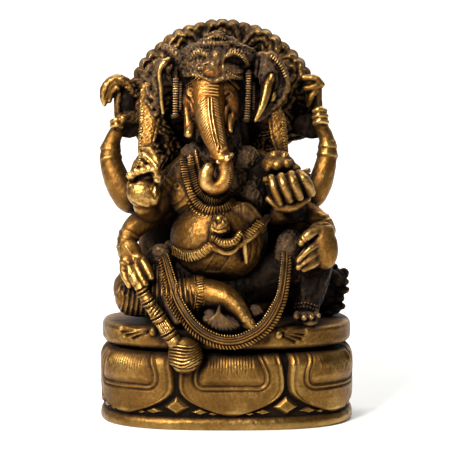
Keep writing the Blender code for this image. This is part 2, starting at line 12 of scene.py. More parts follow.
import logging
import math
from collections.abc import Callable, Sequence
from dataclasses import dataclass
from enum import Enum

import bpy
import numpy as np
from mathutils import Matrix, Vector

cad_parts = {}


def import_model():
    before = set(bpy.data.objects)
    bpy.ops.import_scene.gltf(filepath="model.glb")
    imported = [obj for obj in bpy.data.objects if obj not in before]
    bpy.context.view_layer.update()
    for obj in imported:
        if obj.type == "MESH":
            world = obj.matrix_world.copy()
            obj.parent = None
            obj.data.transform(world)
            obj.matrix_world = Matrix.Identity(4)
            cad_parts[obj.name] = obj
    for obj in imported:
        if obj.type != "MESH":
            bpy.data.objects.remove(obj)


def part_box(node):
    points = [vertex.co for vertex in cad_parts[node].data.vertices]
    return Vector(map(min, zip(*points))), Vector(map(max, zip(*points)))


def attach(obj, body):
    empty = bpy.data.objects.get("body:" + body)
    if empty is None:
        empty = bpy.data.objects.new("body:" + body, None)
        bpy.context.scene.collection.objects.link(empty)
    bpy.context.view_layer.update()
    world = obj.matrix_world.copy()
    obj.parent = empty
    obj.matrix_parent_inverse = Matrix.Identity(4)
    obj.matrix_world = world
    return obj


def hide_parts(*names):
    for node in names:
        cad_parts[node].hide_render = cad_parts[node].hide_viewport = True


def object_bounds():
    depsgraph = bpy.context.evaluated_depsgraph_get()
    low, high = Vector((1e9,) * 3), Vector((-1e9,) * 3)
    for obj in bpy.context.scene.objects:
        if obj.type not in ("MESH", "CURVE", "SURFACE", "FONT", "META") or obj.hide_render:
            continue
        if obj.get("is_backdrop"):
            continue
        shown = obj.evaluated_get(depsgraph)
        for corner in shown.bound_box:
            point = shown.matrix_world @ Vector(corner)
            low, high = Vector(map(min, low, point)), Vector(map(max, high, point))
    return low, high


Array = np.ndarray
Point = tuple[float, float, float]
Relief = Callable[[Array, Array], Array]

MM = 0.001
SEAT_TOP = 37.7  # height of the seat that the figure is drawn on, in mm
FIGURE_Y = 3.8  # depth of the figure's middle, in mm
DRAWN_LOW = np.array([-47.9405, -30.0395, 0.0])  # lowest corner of the drawn figurine, in mm
DRAWN_HIGH = np.array([47.9405, 30.0, 150.8268])  # its highest corner, in mm
TINY = 1e-9  # keeps a division by a length from failing
LOG = logging.getLogger("figurine")


# ---------------------------------------------------------------------------------------------------
# Places
# ---------------------------------------------------------------------------------------------------


@dataclass(frozen=True)
class Eye:
    """Where a viewer stands, so that work can be drawn on the figure as it is seen from the front.

    Attributes:
        distance: From the eye to the middle of the figure, in mm.
        elevation: Angle above the horizon, in degrees.
        target: The point looked at, in mm.
    """

    distance: float = 600.0
    elevation: float = 5.5
    target: Point = (-0.56, 0.0, 73.5)

    @property
    def place(self) -> Array:
        """The eye's position in mm."""
        turn = math.radians(self.elevation)
        back = np.array([0.0, -math.cos(turn), math.sin(turn)])
        return np.array(self.target) + self.distance * back

    def at(self, x: float, z: float, depth: float) -> Array:
        """The point at this depth that covers (x, z) of the upright plane through the middle.

        Args:
            x: Sideways place on the plane, in mm.
            z: Height on the plane, in mm.
            depth: The wanted point's y, in mm.

        Returns:
            The point in mm.
        """
        eye = self.place
        share = (depth - eye[1]) / (0.0 - eye[1])
        return eye + share * (np.array([x, 0.0, z]) - eye)

    def drawn(self, points: Array) -> Array:
        """Where points appear on the upright plane through the middle.

        Args:
            points: Rows of x, y, z in mm.

        Returns:
            Rows of x, z in mm.
        """
        eye = self.place
        share = (0.0 - eye[1]) / (points[:, 1] - eye[1])
        seen = eye + share[:, None] * (points - eye)
        return seen[:, [0, 2]]


EYE = Eye()


# ---------------------------------------------------------------------------------------------------
# Shapes
# ---------------------------------------------------------------------------------------------------


@dataclass
class Shape:
    """A mesh in millimetres: points, and faces of four corners (a triangle repeats its last one)."""

    points: Array
    faces: Array

    @staticmethod
    def joined(shapes: Sequence[Shape]) -> Shape:
        """One shape that holds all of these."""
        starts = np.cumsum([0] + [len(s.points) for s in shapes[:-1]])
        points = np.concatenate([s.points for s in shapes])
        return Shape(points, np.concatenate([s.faces + n for s, n in zip(shapes, starts)]))

    def normals(self) -> Array:
        """The outward normal at each point."""
        a, b, c, d = (self.points[self.faces[:, k]] for k in range(4))
        across = np.cross(c - a, d - b)
        flat = self.faces[:, 2] == self.faces[:, 3]
        across[flat] = np.cross(b - a, c - a)[flat]
        total = np.zeros_like(self.points)
        for corner in range(4):
            for axis in range(3):
                total[:, axis] += np.bincount(
                    self.faces[:, corner], across[:, axis], minlength=len(self.points)
                )
        return total / np.maximum(np.linalg.norm(total, axis=1, keepdims=True), TINY)

    def links(self) -> tuple[Array, Array]:
        """The two ends of every edge, each edge both ways round."""
        ends = np.concatenate([self.faces[:, [k, (k + 1) % 4]] for k in range(4)])
        ends = ends[ends[:, 0] != ends[:, 1]]
        return np.concatenate([ends[:, 0], ends[:, 1]]), np.concatenate([ends[:, 1], ends[:, 0]])

    def averaged(self, values: Array, rounds: int = 1) -> Array:
        """Values at the points, each replaced by its neighbours' mean this many times."""
        here, there = self.links()
        count = np.maximum(np.bincount(here, minlength=len(self.points)), 1)
        columns = values.reshape(len(values), -1)
        for _ in range(rounds):
            columns = np.stack(
                [np.bincount(here, col[there], minlength=len(count)) / count for col in columns.T], axis=1
            )
        return columns.reshape(values.shape)

    def smoothed(self, rounds: int) -> Shape:
        """The shape relaxed towards its neighbours' mean, with the shrinkage pushed back out."""
        inward, outward = 0.5, 0.53
        points = self.points
        for _ in range(rounds):
            points = points + inward * (self.averaged(points) - points)
            points = points - outward * (self.averaged(points) - points)
        return Shape(points, self.faces)

    def faced_out(self) -> Shape:
        """The closed shape with its faces turned outward."""
        a, b, c, d = (self.points[self.faces[:, k]] for k in range(4))
        volume = np.einsum("ij,ij->i", a, np.cross(b, c) + np.cross(c, d)).sum()
        return self if volume > 0 else Shape(self.points, flipped(self.faces))

    def pressed(self, relief: Relief) -> Shape:
        """The shape with each point moved along its normal.

        Args:
            relief: Gives a height in mm for rows of points and of normals.

        Returns:
            The shape with its relief.
        """
        normals = self.normals()
        return Shape(self.points + normals * relief(self.points, normals)[:, None], self.faces)

    def mesh(self, name: str, scale: float = 1.0) -> bpy.types.Mesh:
        """A Blender mesh of the shape, smooth shaded."""
        made = bpy.data.meshes.new(name)
        flat = self.faces[:, 2] == self.faces[:, 3]
        sizes = np.where(flat, 3, 4)
        keep = np.ones(self.faces.shape, bool)
        keep[flat, 3] = False
        corners = self.faces[keep]
        made.vertices.add(len(self.points))
        made.loops.add(len(corners))
        made.polygons.add(len(sizes))
        made.vertices.foreach_set("co", (self.points * scale).astype(np.float32).ravel())
        made.loops.foreach_set("vertex_index", corners.astype(np.int32))
        starts = np.concatenate([[0], np.cumsum(sizes)[:-1]])
        made.polygons.foreach_set("loop_start", starts.astype(np.int32))
        made.polygons.foreach_set("use_smooth", np.ones(len(sizes), bool))
        made.update(calc_edges=True)
        made.validate()
        return made

    @staticmethod
    def read(mesh: bpy.types.Mesh) -> Shape:
        """The shape that a Blender mesh of triangles and quads holds."""
        points = np.empty(len(mesh.vertices) * 3, np.float32)
        mesh.vertices.foreach_get("co", points)
        corners = np.empty(len(mesh.loops), np.int32)
        mesh.loops.foreach_get("vertex_index", corners)
        starts = np.empty(len(mesh.polygons), np.int32)
        mesh.polygons.foreach_get("loop_start", starts)
        sizes = np.empty(len(mesh.polygons), np.int32)
        mesh.polygons.foreach_get("loop_total", sizes)
        last = np.where(sizes == 3, 2, 3)
        faces = np.stack([corners[starts + k] for k in range(3)] + [corners[starts + last]], axis=1)
        return Shape(points.reshape(-1, 3).astype(float), faces)


def curve_through(rows: Sequence[Sequence[float]], step: float = 0.6) -> Array:
    """Rows of numbers made into a smooth run of rows, about step mm apart in their first three columns."""
    given = np.array(rows, float)
    ends = np.concatenate([[2 * given[0] - given[1]], given, [2 * given[-1] - given[-2]]])
    found = []
    for a, b, c, d in zip(ends, ends[1:], ends[2:], ends[3:]):
        count = max(1, round(float(np.linalg.norm((c - b)[:3])) / step))
        t = (np.arange(count) / count)[:, None]
        found.append(
            0.5 * (2 * b + (c - a) * t + (2 * a - 5 * b + 4 * c - d) * t**2 + (3 * b - a - 3 * c + d) * t**3)
        )
    return np.concatenate([*found, given[-1:]])


def skin(rings: Array, closed_ends: bool = True) -> Shape:
    """A closed skin over equal rings of points, each end drawn to the ring's middle."""
    count, around = rings.shape[:2]
    points = rings.reshape(-1, 3)
    i, j = np.meshgrid(np.arange(count - 1), np.arange(around), indexing="ij")
    k = (j + 1) % around
    faces = np.stack([i * around + j, i * around + k, (i + 1) * around + k, (i + 1) * around + j], axis=-1)
    faces = faces.reshape(-1, 4)
    if closed_ends:
        poles = np.stack([rings[0].mean(axis=0), rings[-1].mean(axis=0)])
        j = np.arange(around)
        k = (j + 1) % around
        first, last = np.full(around, len(points)), np.full(around, len(points) + 1)
        top = (count - 1) * around
        caps = [np.stack([k, j, first, first], axis=1), np.stack([top + j, top + k, last, last], axis=1)]
        points = np.concatenate([points, poles])
        faces = np.concatenate([faces, *caps])
    return Shape(points, faces).faced_out()


def flipped(faces: Array) -> Array:
    """Faces turned round; a triangle keeps its repeated last corner."""
    flat = faces[:, 2] == faces[:, 3]
    turned = faces[:, ::-1].copy()
    turned[flat] = faces[flat][:, [0, 2, 1, 1]]
    return turned


def tube(rows: Sequence[Sequence[float]] | Array, sides: int = 20, flatness: float = 1.0,
         thin: Point = (0.0, 1.0, 0.0), step: float = 0.6) -> Shape:
    """A round-ended tube.

    Args:
        rows: x, y, z and radius of each point that it passes through, in mm.
        sides: Corners of its section.
        flatness: Its thickness along thin as a share of its width.
        thin: The direction it is thinned in.
        step: Distance between rings, in mm.

    Returns:
        The closed tube.
    """
    run = curve_through(rows, step)
    centres, radii = run[:, :3], run[:, 3]
    along = np.gradient(centres, axis=0)
    along /= np.maximum(np.linalg.norm(along, axis=1, keepdims=True), TINY)
    axis = np.array(thin, float)
    axes = []
    for direction in along:
        axis = axis - direction * axis.dot(direction)
        axis = axis / max(np.linalg.norm(axis), TINY)
        axes.append(axis)
    thin_axes = np.array(axes)
    wide_axes = np.cross(along, thin_axes)
    turn = np.arange(sides) * math.tau / sides
    dome = np.radians([78.0, 58.0, 38.0, 18.0])  # heights of the rings that round off an end
    shifts = np.concatenate([-np.sin(dome) * radii[0], np.zeros(len(run)), np.sin(dome[::-1]) * radii[-1]])
    sizes = np.concatenate([np.cos(dome) * radii[0], radii, np.cos(dome[::-1]) * radii[-1]])
    extra = len(dome)
    pick = np.concatenate([np.zeros(extra, int), np.arange(len(run)), np.full(extra, len(run) - 1)])
    middles = centres[pick] + along[pick] * shifts[:, None]
    rings = (
        middles[:, None, :]
        + wide_axes[pick][:, None, :] * (np.cos(turn)[None, :] * sizes[:, None])[..., None]
        + thin_axes[pick][:, None, :] * (np.sin(turn)[None, :] * sizes[:, None] * flatness)[..., None]
    )
    return skin(rings)


def drawn_tube(rows: Sequence[Sequence[float]], **options: object) -> Shape:
    """A tube through rows of x, z as seen from the front, depth y and radius."""
    return tube([[*EYE.at(x, z, y), r] for x, z, y, r in rows], **options)


def drawn_path(rows: Sequence[Sequence[float]], step: float = 0.6) -> Array:
    """A smooth path through rows of x, z as seen from the front and depth y."""
    return curve_through([EYE.at(x, z, y) for x, z, y in rows], step)


def ball(centre: Sequence[float], radii: Point, turn: Point = (0.0, 0.0, 0.0), sides: int = 28) -> Shape:
    """An ellipsoid. turn is in degrees about X, Y and Z."""
    rise = np.linspace(-90.0, 90.0, sides // 2 + 1)[1:-1]
    around = np.arange(sides) * math.tau / sides
    up, out = np.sin(np.radians(rise)), np.cos(np.radians(rise))
    rings = np.stack(
        [out[:, None] * np.cos(around), out[:, None] * np.sin(around),
         np.repeat(up[:, None], sides, axis=1)],
        axis=-1,
    )
    made = skin(rings)
    points = made.points.copy()
    points[-2:] = [[0, 0, -1], [0, 0, 1]]
    spin = Matrix.Identity(3)
    for angle, axis in zip(turn, "XYZ"):
        spin = spin @ Matrix.Rotation(math.radians(angle), 3, axis)
    return Shape((points * np.array(radii)) @ np.array(spin).T + np.array(centre), made.faces)


def drawn_ball(x: float, z: float, y: float, radii: Point, turn: Point = (0.0, 0.0, 0.0),
               sides: int = 28) -> Shape:
    """An ellipsoid whose middle is seen at x, z from the front, at depth y."""
    return ball(EYE.at(x, z, y), radii, turn, sides)


def fused(shapes: Sequence[Shape], voxel: float = 0.4, rounds: int = 3) -> Shape:
    """One skin over overlapping shapes, as a casting has.

    Args:
        shapes: The closed shapes.
        voxel: The finest detail kept, in mm.
        rounds: How often the skin is relaxed.

    Returns:
        The skin, of quads about a voxel wide.
    """
    helper = bpy.data.objects.new("fusing", Shape.joined(shapes).mesh("fusing"))
    bpy.context.scene.collection.objects.link(helper)
    modifier = helper.modifiers.new("Fuse", "REMESH")
    modifier.mode = "VOXEL"
    modifier.voxel_size = voxel
    graph = bpy.context.evaluated_depsgraph_get()
    result = bpy.data.meshes.new_from_object(helper.evaluated_get(graph))
    made = Shape.read(result)
    drop(helper)
    bpy.data.meshes.remove(result)
    return made.smoothed(rounds)


def drop(obj: bpy.types.Object) -> None:
    """Removes a helper object and its mesh."""
    data = obj.data
    bpy.data.objects.remove(obj)
    bpy.data.meshes.remove(data)


# ---------------------------------------------------------------------------------------------------
# Engraving: heights from lines drawn on the figure as it is seen from the front
# ---------------------------------------------------------------------------------------------------


def dense(path: Sequence[Sequence[float]], step: float = 0.25) -> Array:
    """A drawn line of x, z rows, smoothed and sampled finely."""
    rows = [(x, 0.0, z) for x, z in path]
    return curve_through(rows, step)[:, [0, 2]]


def distance_to(places: Array, path: Array) -> tuple[Array, Array]:
    """How far each place is from a path, and which of the path's points is nearest."""
    near = np.full(len(places), 1e9)
    which = np.zeros(len(places), int)
    low, high = path.min(axis=0) - 4.0, path.max(axis=0) + 4.0
    inside = np.where(((places > low) & (places < high)).all(axis=1))[0]
    for start in range(0, len(inside), 20000):
        pick = inside[start:start + 20000]
        gap = np.linalg.norm(places[pick][:, None, :] - path[None, :, :], axis=2)
        which[pick] = gap.argmin(axis=1)
        near[pick] = gap.min(axis=1)
    return near, which


@dataclass
class Stroke:
    """A drawn line that is raised from, or cut into, what lies behind it.

    Attributes:
        path: x, z rows in mm, as seen from the front.
        height: Of the line above the surface; a cut is negative.
        width: Half the line's width.
        pitch: If set, the line is broken into beads this far apart.
        slant: If set, the beads slant: the share of the side step added to the step along.
    """

    path: Sequence[Sequence[float]]
    height: float
    width: float
    pitch: float = 0.0
    slant: float = 0.0

    def heights(self, places: Array) -> Array:
        """The line's height at drawn places."""
        line = dense(self.path)
        near, which = distance_to(places, line)
        rise = self.height * np.exp(-((near / self.width) ** 4 if self.pitch else (near / self.width) ** 2))
        if self.pitch:
            lengths = np.concatenate([[0], np.cumsum(np.linalg.norm(np.diff(line, axis=0), axis=1))])
            step = np.gradient(line, axis=0)
            step /= np.maximum(np.linalg.norm(step, axis=1, keepdims=True), TINY)
            offset = places - line[which]
            along = lengths[which] + (offset * step[which]).sum(axis=1)
            side = offset[:, 0] * step[which, 1] - offset[:, 1] * step[which, 0]
            wave = 0.5 + 0.5 * np.cos(math.tau * (along + self.slant * np.abs(side)) / self.pitch)
            rise *= 2.0 * wave - 0.6
        return rise


@dataclass
class Curls:
    """Small raised spirals that fill an area, as on a chased headdress.

    Attributes:
        low: x, z of the area's lower corner, in mm.
        high: x, z of its upper corner.
        spacing: Distance between spirals.
        pitch: Distance between a spiral's turns.
        height: Of the turns.
        seed: For their places.
    """

    low: tuple[float, float]
    high: tuple[float, float]
    spacing: float = 3.4
    pitch: float = 1.2
    height: float = 0.3
    seed: int = 1

    def heights(self, places: Array) -> Array:
        """The spirals' height at drawn places."""
        random = np.random.default_rng(self.seed)
        jitter = random.uniform(0.1, 0.9, (64, 64, 2))
        phase = random.uniform(0.0, math.tau, (64, 64))
        cell = np.floor(places / self.spacing).astype(int)
        near, rise = np.full(len(places), 1e9), np.zeros(len(places))
        for shift in ((i, j) for i in (-1, 0, 1) for j in (-1, 0, 1)):
            here = cell + shift
            i, j = here[:, 0] % 64, here[:, 1] % 64
            offset = places - (here + jitter[i, j]) * self.spacing
            gap = np.linalg.norm(offset, axis=1)
            turn = np.arctan2(offset[:, 1], offset[:, 0])
            swirl = np.cos(math.tau * gap / self.pitch + turn + phase[i, j])
            closer = gap < near
            near[closer], rise[closer] = gap[closer], swirl[closer]
        inside = np.minimum(places - np.array(self.low), np.array(self.high) - places).min(axis=1)
        return self.height * rise * np.clip(inside, 0.0, 1.0)


def drawn_relief(strokes: Sequence[Stroke | Curls]) -> Relief:
    """Relief from drawn lines, only where the surface faces the viewer."""
    edge, fade = -0.05, 0.25  # how far a normal leans back where the lines end, and the range they fade over

    def relief(points: Array, normals: Array) -> Array:
        places = EYE.drawn(points)
        total = np.zeros(len(points))
        for stroke in strokes:
            total += stroke.heights(places)
        return total * np.clip((edge - normals[:, 1]) / fade, 0.0, 1.0)

    return relief


def grain(points: Array, seed: int, size: float) -> Array:
    """Smooth random heights from -1 to 1, with hills about size mm apart."""
    random = np.random.default_rng(seed)
    waves = 9
    total = np.zeros(len(points))
    for _ in range(waves):
        direction = random.normal(size=3)
        direction *= math.tau / size / np.linalg.norm(direction) * random.uniform(0.6, 1.5)
        total += np.sin(points @ direction + random.uniform(0, math.tau))
    return total / (waves / 2)


def limb(rows: Sequence[Sequence[float]], **options: object) -> Shape:
    """A tube through rows of x, y, height above the seat and radius, in the figure's own frame."""
    return tube([[x, y + FIGURE_Y, h + SEAT_TOP, r] for x, y, h, r in rows], **options)


def lump(centre: Point, radii: Point, turn: Point = (0.0, 0.0, 0.0), sides: int = 40) -> Shape:
    """An ellipsoid about a point of the figure's own frame."""
    return ball((centre[0], centre[1] + FIGURE_Y, centre[2] + SEAT_TOP), radii, turn, sides)


def rings_round(rows: Sequence[Sequence[float]], places: Sequence[float], proud: float,
                width: float) -> list[Shape]:
    """Bangles round a limb.

    Args:
        rows: The limb's rows, as limb() takes them.
        places: Where the bangles sit, as shares of the limb's length.
        proud: How far they stand out, in mm.
        width: Their width, in mm.

    Returns:
        The bangles.
    """
    run = curve_through([[x, y + FIGURE_Y, h + SEAT_TOP, r] for x, y, h, r in rows], 0.3)
    made = []
    for place in places:
        k = int(place * (len(run) - 1))
        step = run[min(k + 1, len(run) - 1), :3] - run[max(k - 1, 0), :3]
        step = step / np.linalg.norm(step) * width / 2
        radius = run[k, 3] + proud
        made.append(tube([[*(run[k, :3] + t * step), radius * f]
                          for t, f in ((-1, 0.9), (0, 1.0), (1, 0.9))], step=0.3))
    return made


class Surface:
    """The nearest skin seen from the front, so that ornament can be laid on it."""

    CELL = 0.35  # width of a search cell, in mm
    REACH = 12  # how many cells away a point may be

    def __init__(self, shapes: Sequence[Shape]) -> None:
        """Keeps the points that face the viewer.

        Args:
            shapes: The skins that can be laid on.
        """
        points = np.concatenate([s.points for s in shapes])
        normals = np.concatenate([s.averaged(s.normals(), 4) for s in shapes])
        keep = normals[:, 1] < 0.3
        self.points, self.normals = points[keep], normals[keep]
        self.places = EYE.drawn(self.points)
        self.cells: dict[tuple[int, int], list[int]] = {}
        keys = np.floor(self.places / self.CELL).astype(int)
        order = np.argsort(self.points[:, 1])[::-1]
        for k in order:
            self.cells[keys[k, 0], keys[k, 1]] = int(k)

    def lay(self, path: Sequence[Sequence[float]], lift: float = 0.0,
            step: float = 0.4) -> tuple[Array, Array]:
        """A drawn line of x, z rows laid on the skin.

        Args:
            path: The line.
            lift: How far off the skin it runs, in mm.
            step: Distance between its points.

        Returns:
            The points and the outward direction at each.
        """
        line = dense(path, step)
        found = []
        for x, z in line:
            i, j = int(math.floor(x / self.CELL)), int(math.floor(z / self.CELL))
            best = -1
            for reach in range(self.REACH):
                near = [
                    self.cells[i + a, j + b]
                    for a in range(-reach, reach + 1)
                    for b in range(-reach, reach + 1)
                    if max(abs(a), abs(b)) == reach and (i + a, j + b) in self.cells
                ]
                if near:
                    best = min(near, key=lambda k: self.points[k, 1])
                    break
            found.append(best)
        pick = np.array(found)
        depth, outward = self.points[pick, 1], self.normals[pick]
        window = np.array([1.0, 2.0, 3.0, 2.0, 1.0]) / 9.0

        def eased(values: Array) -> Array:
            """Values along the line with their jumps evened out."""
            return np.convolve(np.pad(values, len(window) // 2, mode="edge"), window, mode="valid")

        if len(pick) >= len(window):
            depth = eased(depth)
            outward = np.stack([eased(column) for column in outward.T], axis=1)
        outward = outward / np.maximum(np.linalg.norm(outward, axis=1, keepdims=True), TINY)
        points = np.array([EYE.at(x, z, y) for (x, z), y in zip(line, depth)])
        return points + outward * lift, outward


def carved(shapes: Sequence[Shape], strokes: Sequence[Stroke | Curls] = (), voxel: float = 0.4,
           rough: float = 0.1,
           seed: int = 1, finer: bool = False) -> Shape:
    """Fused shapes with drawn lines and the unevenness of hand-worked wax pressed in.

    Args:
        shapes: The closed shapes.
        strokes: Lines and curls drawn from the front.
        voxel: The finest form kept, in mm.
        rough: Height of the unevenness, in mm.
        seed: For the unevenness.
        finer: Whether each face is split in four before the lines are pressed in.

    Returns:
        The skin.
    """
    made = fused(shapes, voxel)
    if finer:
        made = split(made)
    made = made.pressed(lambda p, n: rough * (0.65 * grain(p, seed, 2.6) + 0.35 * grain(p, seed + 1, 1.1)))
    return made.pressed(drawn_relief(strokes)) if strokes else made


def split(shape: Shape) -> Shape:
    """A skin of quads with each one split in four."""
    faces = shape.faces
    ends = np.sort(np.concatenate([faces[:, [k, (k + 1) % 4]] for k in range(4)]), axis=1)
    edges, index = np.unique(ends, axis=0, return_inverse=True)
    index = index.reshape(4, -1) + len(shape.points)
    centre = np.arange(len(faces)) + len(shape.points) + len(edges)
    middles = (shape.points[edges[:, 0]] + shape.points[edges[:, 1]]) / 2
    quarters = [np.stack([index[k - 1], faces[:, k], index[k], centre], axis=1) for k in range(4)]
    points = np.concatenate([shape.points, middles, shape.points[faces].mean(axis=1)])
    return Shape(points, np.concatenate(quarters)).smoothed(1)


# ---------------------------------------------------------------------------------------------------
# Finishes
# ---------------------------------------------------------------------------------------------------

Colour = tuple[float, float, float]


@dataclass(frozen=True)
class Brass:
    """A cast brass finish, from its sheltered hollows to its rubbed high spots.

    Attributes:
        title: Name of the finish.
        slot: The record's material slot; not used.
        hollow: Colour of the soot in hollows, which is also the painted shade of deep gaps.
        aged: Colour of untouched metal.
        rubbed: Colour of handled metal.
        gleam: Colour of worn edges.
        dust: Colour of the powdery film.
        dusty: How much of the surface the film takes, from 0 to 1.
        wear: How far handling has reached, from -1 to 1.
    """

    title: str
    slot: str
    hollow: Colour = (0.005, 0.003, 0.002)
    aged: Colour = (0.044, 0.020, 0.006)
    rubbed: Colour = (0.180, 0.084, 0.018)
    gleam: Colour = (0.58, 0.37, 0.12)
    dust: Colour = (0.050, 0.032, 0.020)
    dusty: float = 0.15
    wear: float = 0.0


class Finish(Enum):
    """The finishes used on the figurine."""

    GOLD = Brass("rubbed_gold", "polished_brass", wear=0.02, dusty=0.05)
    BASE = Brass("base_gold", "aged_brass", rubbed=(0.160, 0.079, 0.018), gleam=(0.43, 0.27, 0.082),
                 wear=0.01, dusty=0.12)
    WARM = Brass("warm_orange", "polished_brass", aged=(0.095, 0.034, 0.008), rubbed=(0.27, 0.112, 0.020),
                 gleam=(0.76, 0.50, 0.19), wear=0.04, dusty=0.03)
    RUSTY = Brass("rusty_brown", "aged_brass", aged=(0.060, 0.023, 0.007), rubbed=(0.21, 0.082, 0.017),
                  gleam=(0.58, 0.33, 0.11), wear=-0.06, dusty=0.15)
    HALO = Brass("halo_gold", "aged_brass", aged=(0.050, 0.026, 0.010), rubbed=(0.155, 0.082, 0.024),
                 gleam=(0.36, 0.23, 0.078), wear=-0.03, dusty=0.3)
    AGED = Brass("aged_gold", "aged_brass", gleam=(0.52, 0.34, 0.12), wear=-0.05, dusty=0.3)
    DUSTY = Brass("dusty_brown", "aged_brass", aged=(0.050, 0.027, 0.013), rubbed=(0.15, 0.080, 0.028),
                  gleam=(0.44, 0.29, 0.12), wear=-0.10, dusty=0.7)
    # The darkest finish: soot, and also painted shade where it is put on pieces that lie in deep shadow.
    SOOT_AND_SHADE = Brass("soot_and_shade_brown", "dark_brass", aged=(0.016, 0.009, 0.005), rubbed=(0.085, 0.046, 0.017),
                  gleam=(0.36, 0.23, 0.085), wear=-0.26, dusty=0.12)


class NodeTree:
    """Short calls that build a node tree."""

    def __init__(self, tree: bpy.types.NodeTree) -> None:
        """Wraps a tree."""
        self.tree = tree

    def add(self, kind: str, inputs: dict[str | int, object] | None = None,
            **settings: object) -> bpy.types.Node:
        """A new node.

        Args:
            kind: The node's type name.
            inputs: Constants, or sockets to link from, by input name or number.
            settings: The node's own properties.

        Returns:
            The node.
        """
        node = self.tree.nodes.new(kind)
        for key, value in settings.items():
            setattr(node, key, value)
        for key, value in (inputs or {}).items():
            if isinstance(value, bpy.types.NodeSocket):
                self.tree.links.new(value, node.inputs[key])
            else:
                node.inputs[key].default_value = value
        return node

    def maths(self, operation: str, a: object, b: object = 0.0, clamp: bool = False) -> bpy.types.NodeSocket:
        """The output of a Math node."""
        return self.add("ShaderNodeMath", {0: a, 1: b}, operation=operation, use_clamp=clamp).outputs[0]

    def mixed(self, share: object, a: object, b: object) -> bpy.types.NodeSocket:
        """The colour between a and b."""
        node = self.add("ShaderNodeMix", {0: share, 6: a, 7: b}, data_type="RGBA")
        return node.outputs[2]


def opaque(colour: Colour) -> tuple[float, float, float, float]:
    """The colour with full alpha."""
    return (*colour, 1.0)


def make_material(finish: Finish) -> bpy.types.Material:
    """The finish's material, made once.

    Args:
        finish: Which finish.

    Returns:
        A material that reads the surface's "worn" and "sheltered" attributes.
    """
    brass = finish.value
    known = bpy.data.materials.get(brass.title)
    if known is not None:
        return known
    material = bpy.data.materials.new(brass.title)
    material.use_nodes = True
    material.node_tree.nodes.clear()
    t = NodeTree(material.node_tree)
    place = t.add("ShaderNodeTexCoord").outputs["Object"]
    worn = t.add("ShaderNodeAttribute", attribute_name="worn").outputs["Fac"]
    sheltered = t.add("ShaderNodeAttribute", attribute_name="sheltered").outputs["Fac"]
    patches = t.add("ShaderNodeTexNoise",
                    {"Vector": place, "Scale": 120.0, "Detail": 5.0, "Roughness": 0.62}).outputs[0]
    specks = t.add("ShaderNodeTexNoise",
                   {"Vector": place, "Scale": 900.0, "Detail": 4.0, "Roughness": 0.7}).outputs[0]
    clouds = t.add("ShaderNodeTexNoise",
                   {"Vector": place, "Scale": 34.0, "Detail": 3.0, "Roughness": 0.5}).outputs[0]

    # From black hollows at 0, through brown metal, to rubbed high spots at 1. Sheltered points are pulled
    # towards black: this is dark patina in the hollows, and painted shade in the deep gaps between parts.
    untouched, rubbing, soot_and_shade = 0.54, 0.36, 0.95
    level = t.maths("ADD", untouched + brass.wear, t.maths("MULTIPLY", worn, rubbing))
    level = t.maths("SUBTRACT", level, t.maths("MULTIPLY", sheltered, soot_and_shade))
    for noise, strength in ((patches, 0.46), (specks, 0.36), (clouds, 0.34)):
        uneven = t.maths("MULTIPLY", t.maths("SUBTRACT", noise, 0.5), strength)
        level = t.maths("ADD", level, uneven, clamp=noise is clouds)
    ramp = t.add("ShaderNodeValToRGB", {"Fac": level})
    stops = ramp.color_ramp.elements
    stops[0].position, stops[0].color = 0.06, opaque(brass.hollow)
    stops[1].position, stops[1].color = 0.92, opaque(brass.gleam)
    for position, colour in ((0.30, brass.aged), (0.56, brass.rubbed)):
        stop = stops.new(position)
        stop.color = opaque(colour)

    # A powdery film lies where nothing rubs, more on what faces up.
    facing = t.add("ShaderNodeSeparateXYZ", {0: t.add("ShaderNodeNewGeometry").outputs["Normal"]}).outputs[2]
    film = t.maths("ADD", t.maths("MULTIPLY", facing, 0.22), t.maths("MULTIPLY", patches, 0.9))
    film = t.maths("SUBTRACT", film,
                   t.maths("MULTIPLY", t.maths("ABSOLUTE", t.maths("SUBTRACT", level, 0.33)), 1.5))
    film = t.maths("MULTIPLY", t.maths("SUBTRACT", film, 0.12), 2.6 * brass.dusty, clamp=True)
    colour = t.mixed(film, ramp.outputs["Color"], opaque(brass.dust))

    metallic = t.add("ShaderNodeMapRange", {0: level, 1: 0.12, 2: 0.5, 3: 0.6, 4: 1.0}).outputs[0]
    metallic = t.maths("MULTIPLY", metallic, t.maths("SUBTRACT", 1.0, t.maths("MULTIPLY", film, 0.85)))
    rough = t.add("ShaderNodeMapRange", {0: level, 1: 0.2, 2: 0.8, 3: 0.64, 4: 0.31}).outputs[0]
    rough = t.maths("ADD", rough, t.maths("MULTIPLY", t.maths("SUBTRACT", specks, 0.5), 0.25))
    rough = t.maths("ADD", rough, t.maths("MULTIPLY", film, 0.3), clamp=True)

    dents = t.add("ShaderNodeTexVoronoi", {"Vector": place, "Scale": 620.0}, feature="SMOOTH_F1").outputs[0]
    height = t.maths("ADD", t.maths("MULTIPLY", specks, 0.7), t.maths("MULTIPLY", dents, 0.35))
    height = t.maths("ADD", height, t.maths("MULTIPLY", patches, 0.9))
    bump = t.add("ShaderNodeBump", {"Strength": 0.55, "Distance": 0.0004, "Height": height}).outputs[0]
    shader = t.add("ShaderNodeBsdfPrincipled", {
        "Base Color": colour, "Metallic": metallic, "Roughness": rough, "Normal": bump, "IOR": 1.5,
        "Specular IOR Level": 0.08,
    })
    t.add("ShaderNodeOutputMaterial", {"Surface": shader.outputs[0]})
    return material


# ---------------------------------------------------------------------------------------------------
# Pieces and ornament
# ---------------------------------------------------------------------------------------------------


@dataclass
class Piece:
    """One finished piece of the figurine.

    Attributes:
        name: The piece's name.
        shape: Its skin, in mm.
        finish: Its finish.
        stands_for: The solids that it replaces.
    """

    name: str
    shape: Shape
    finish: Finish
    stands_for: tuple[str, ...] = ()


class Bead(Enum):
    """What is set along a path."""

    BALL = "ball"
    BAR = "bar"
    LEAF = "leaf"


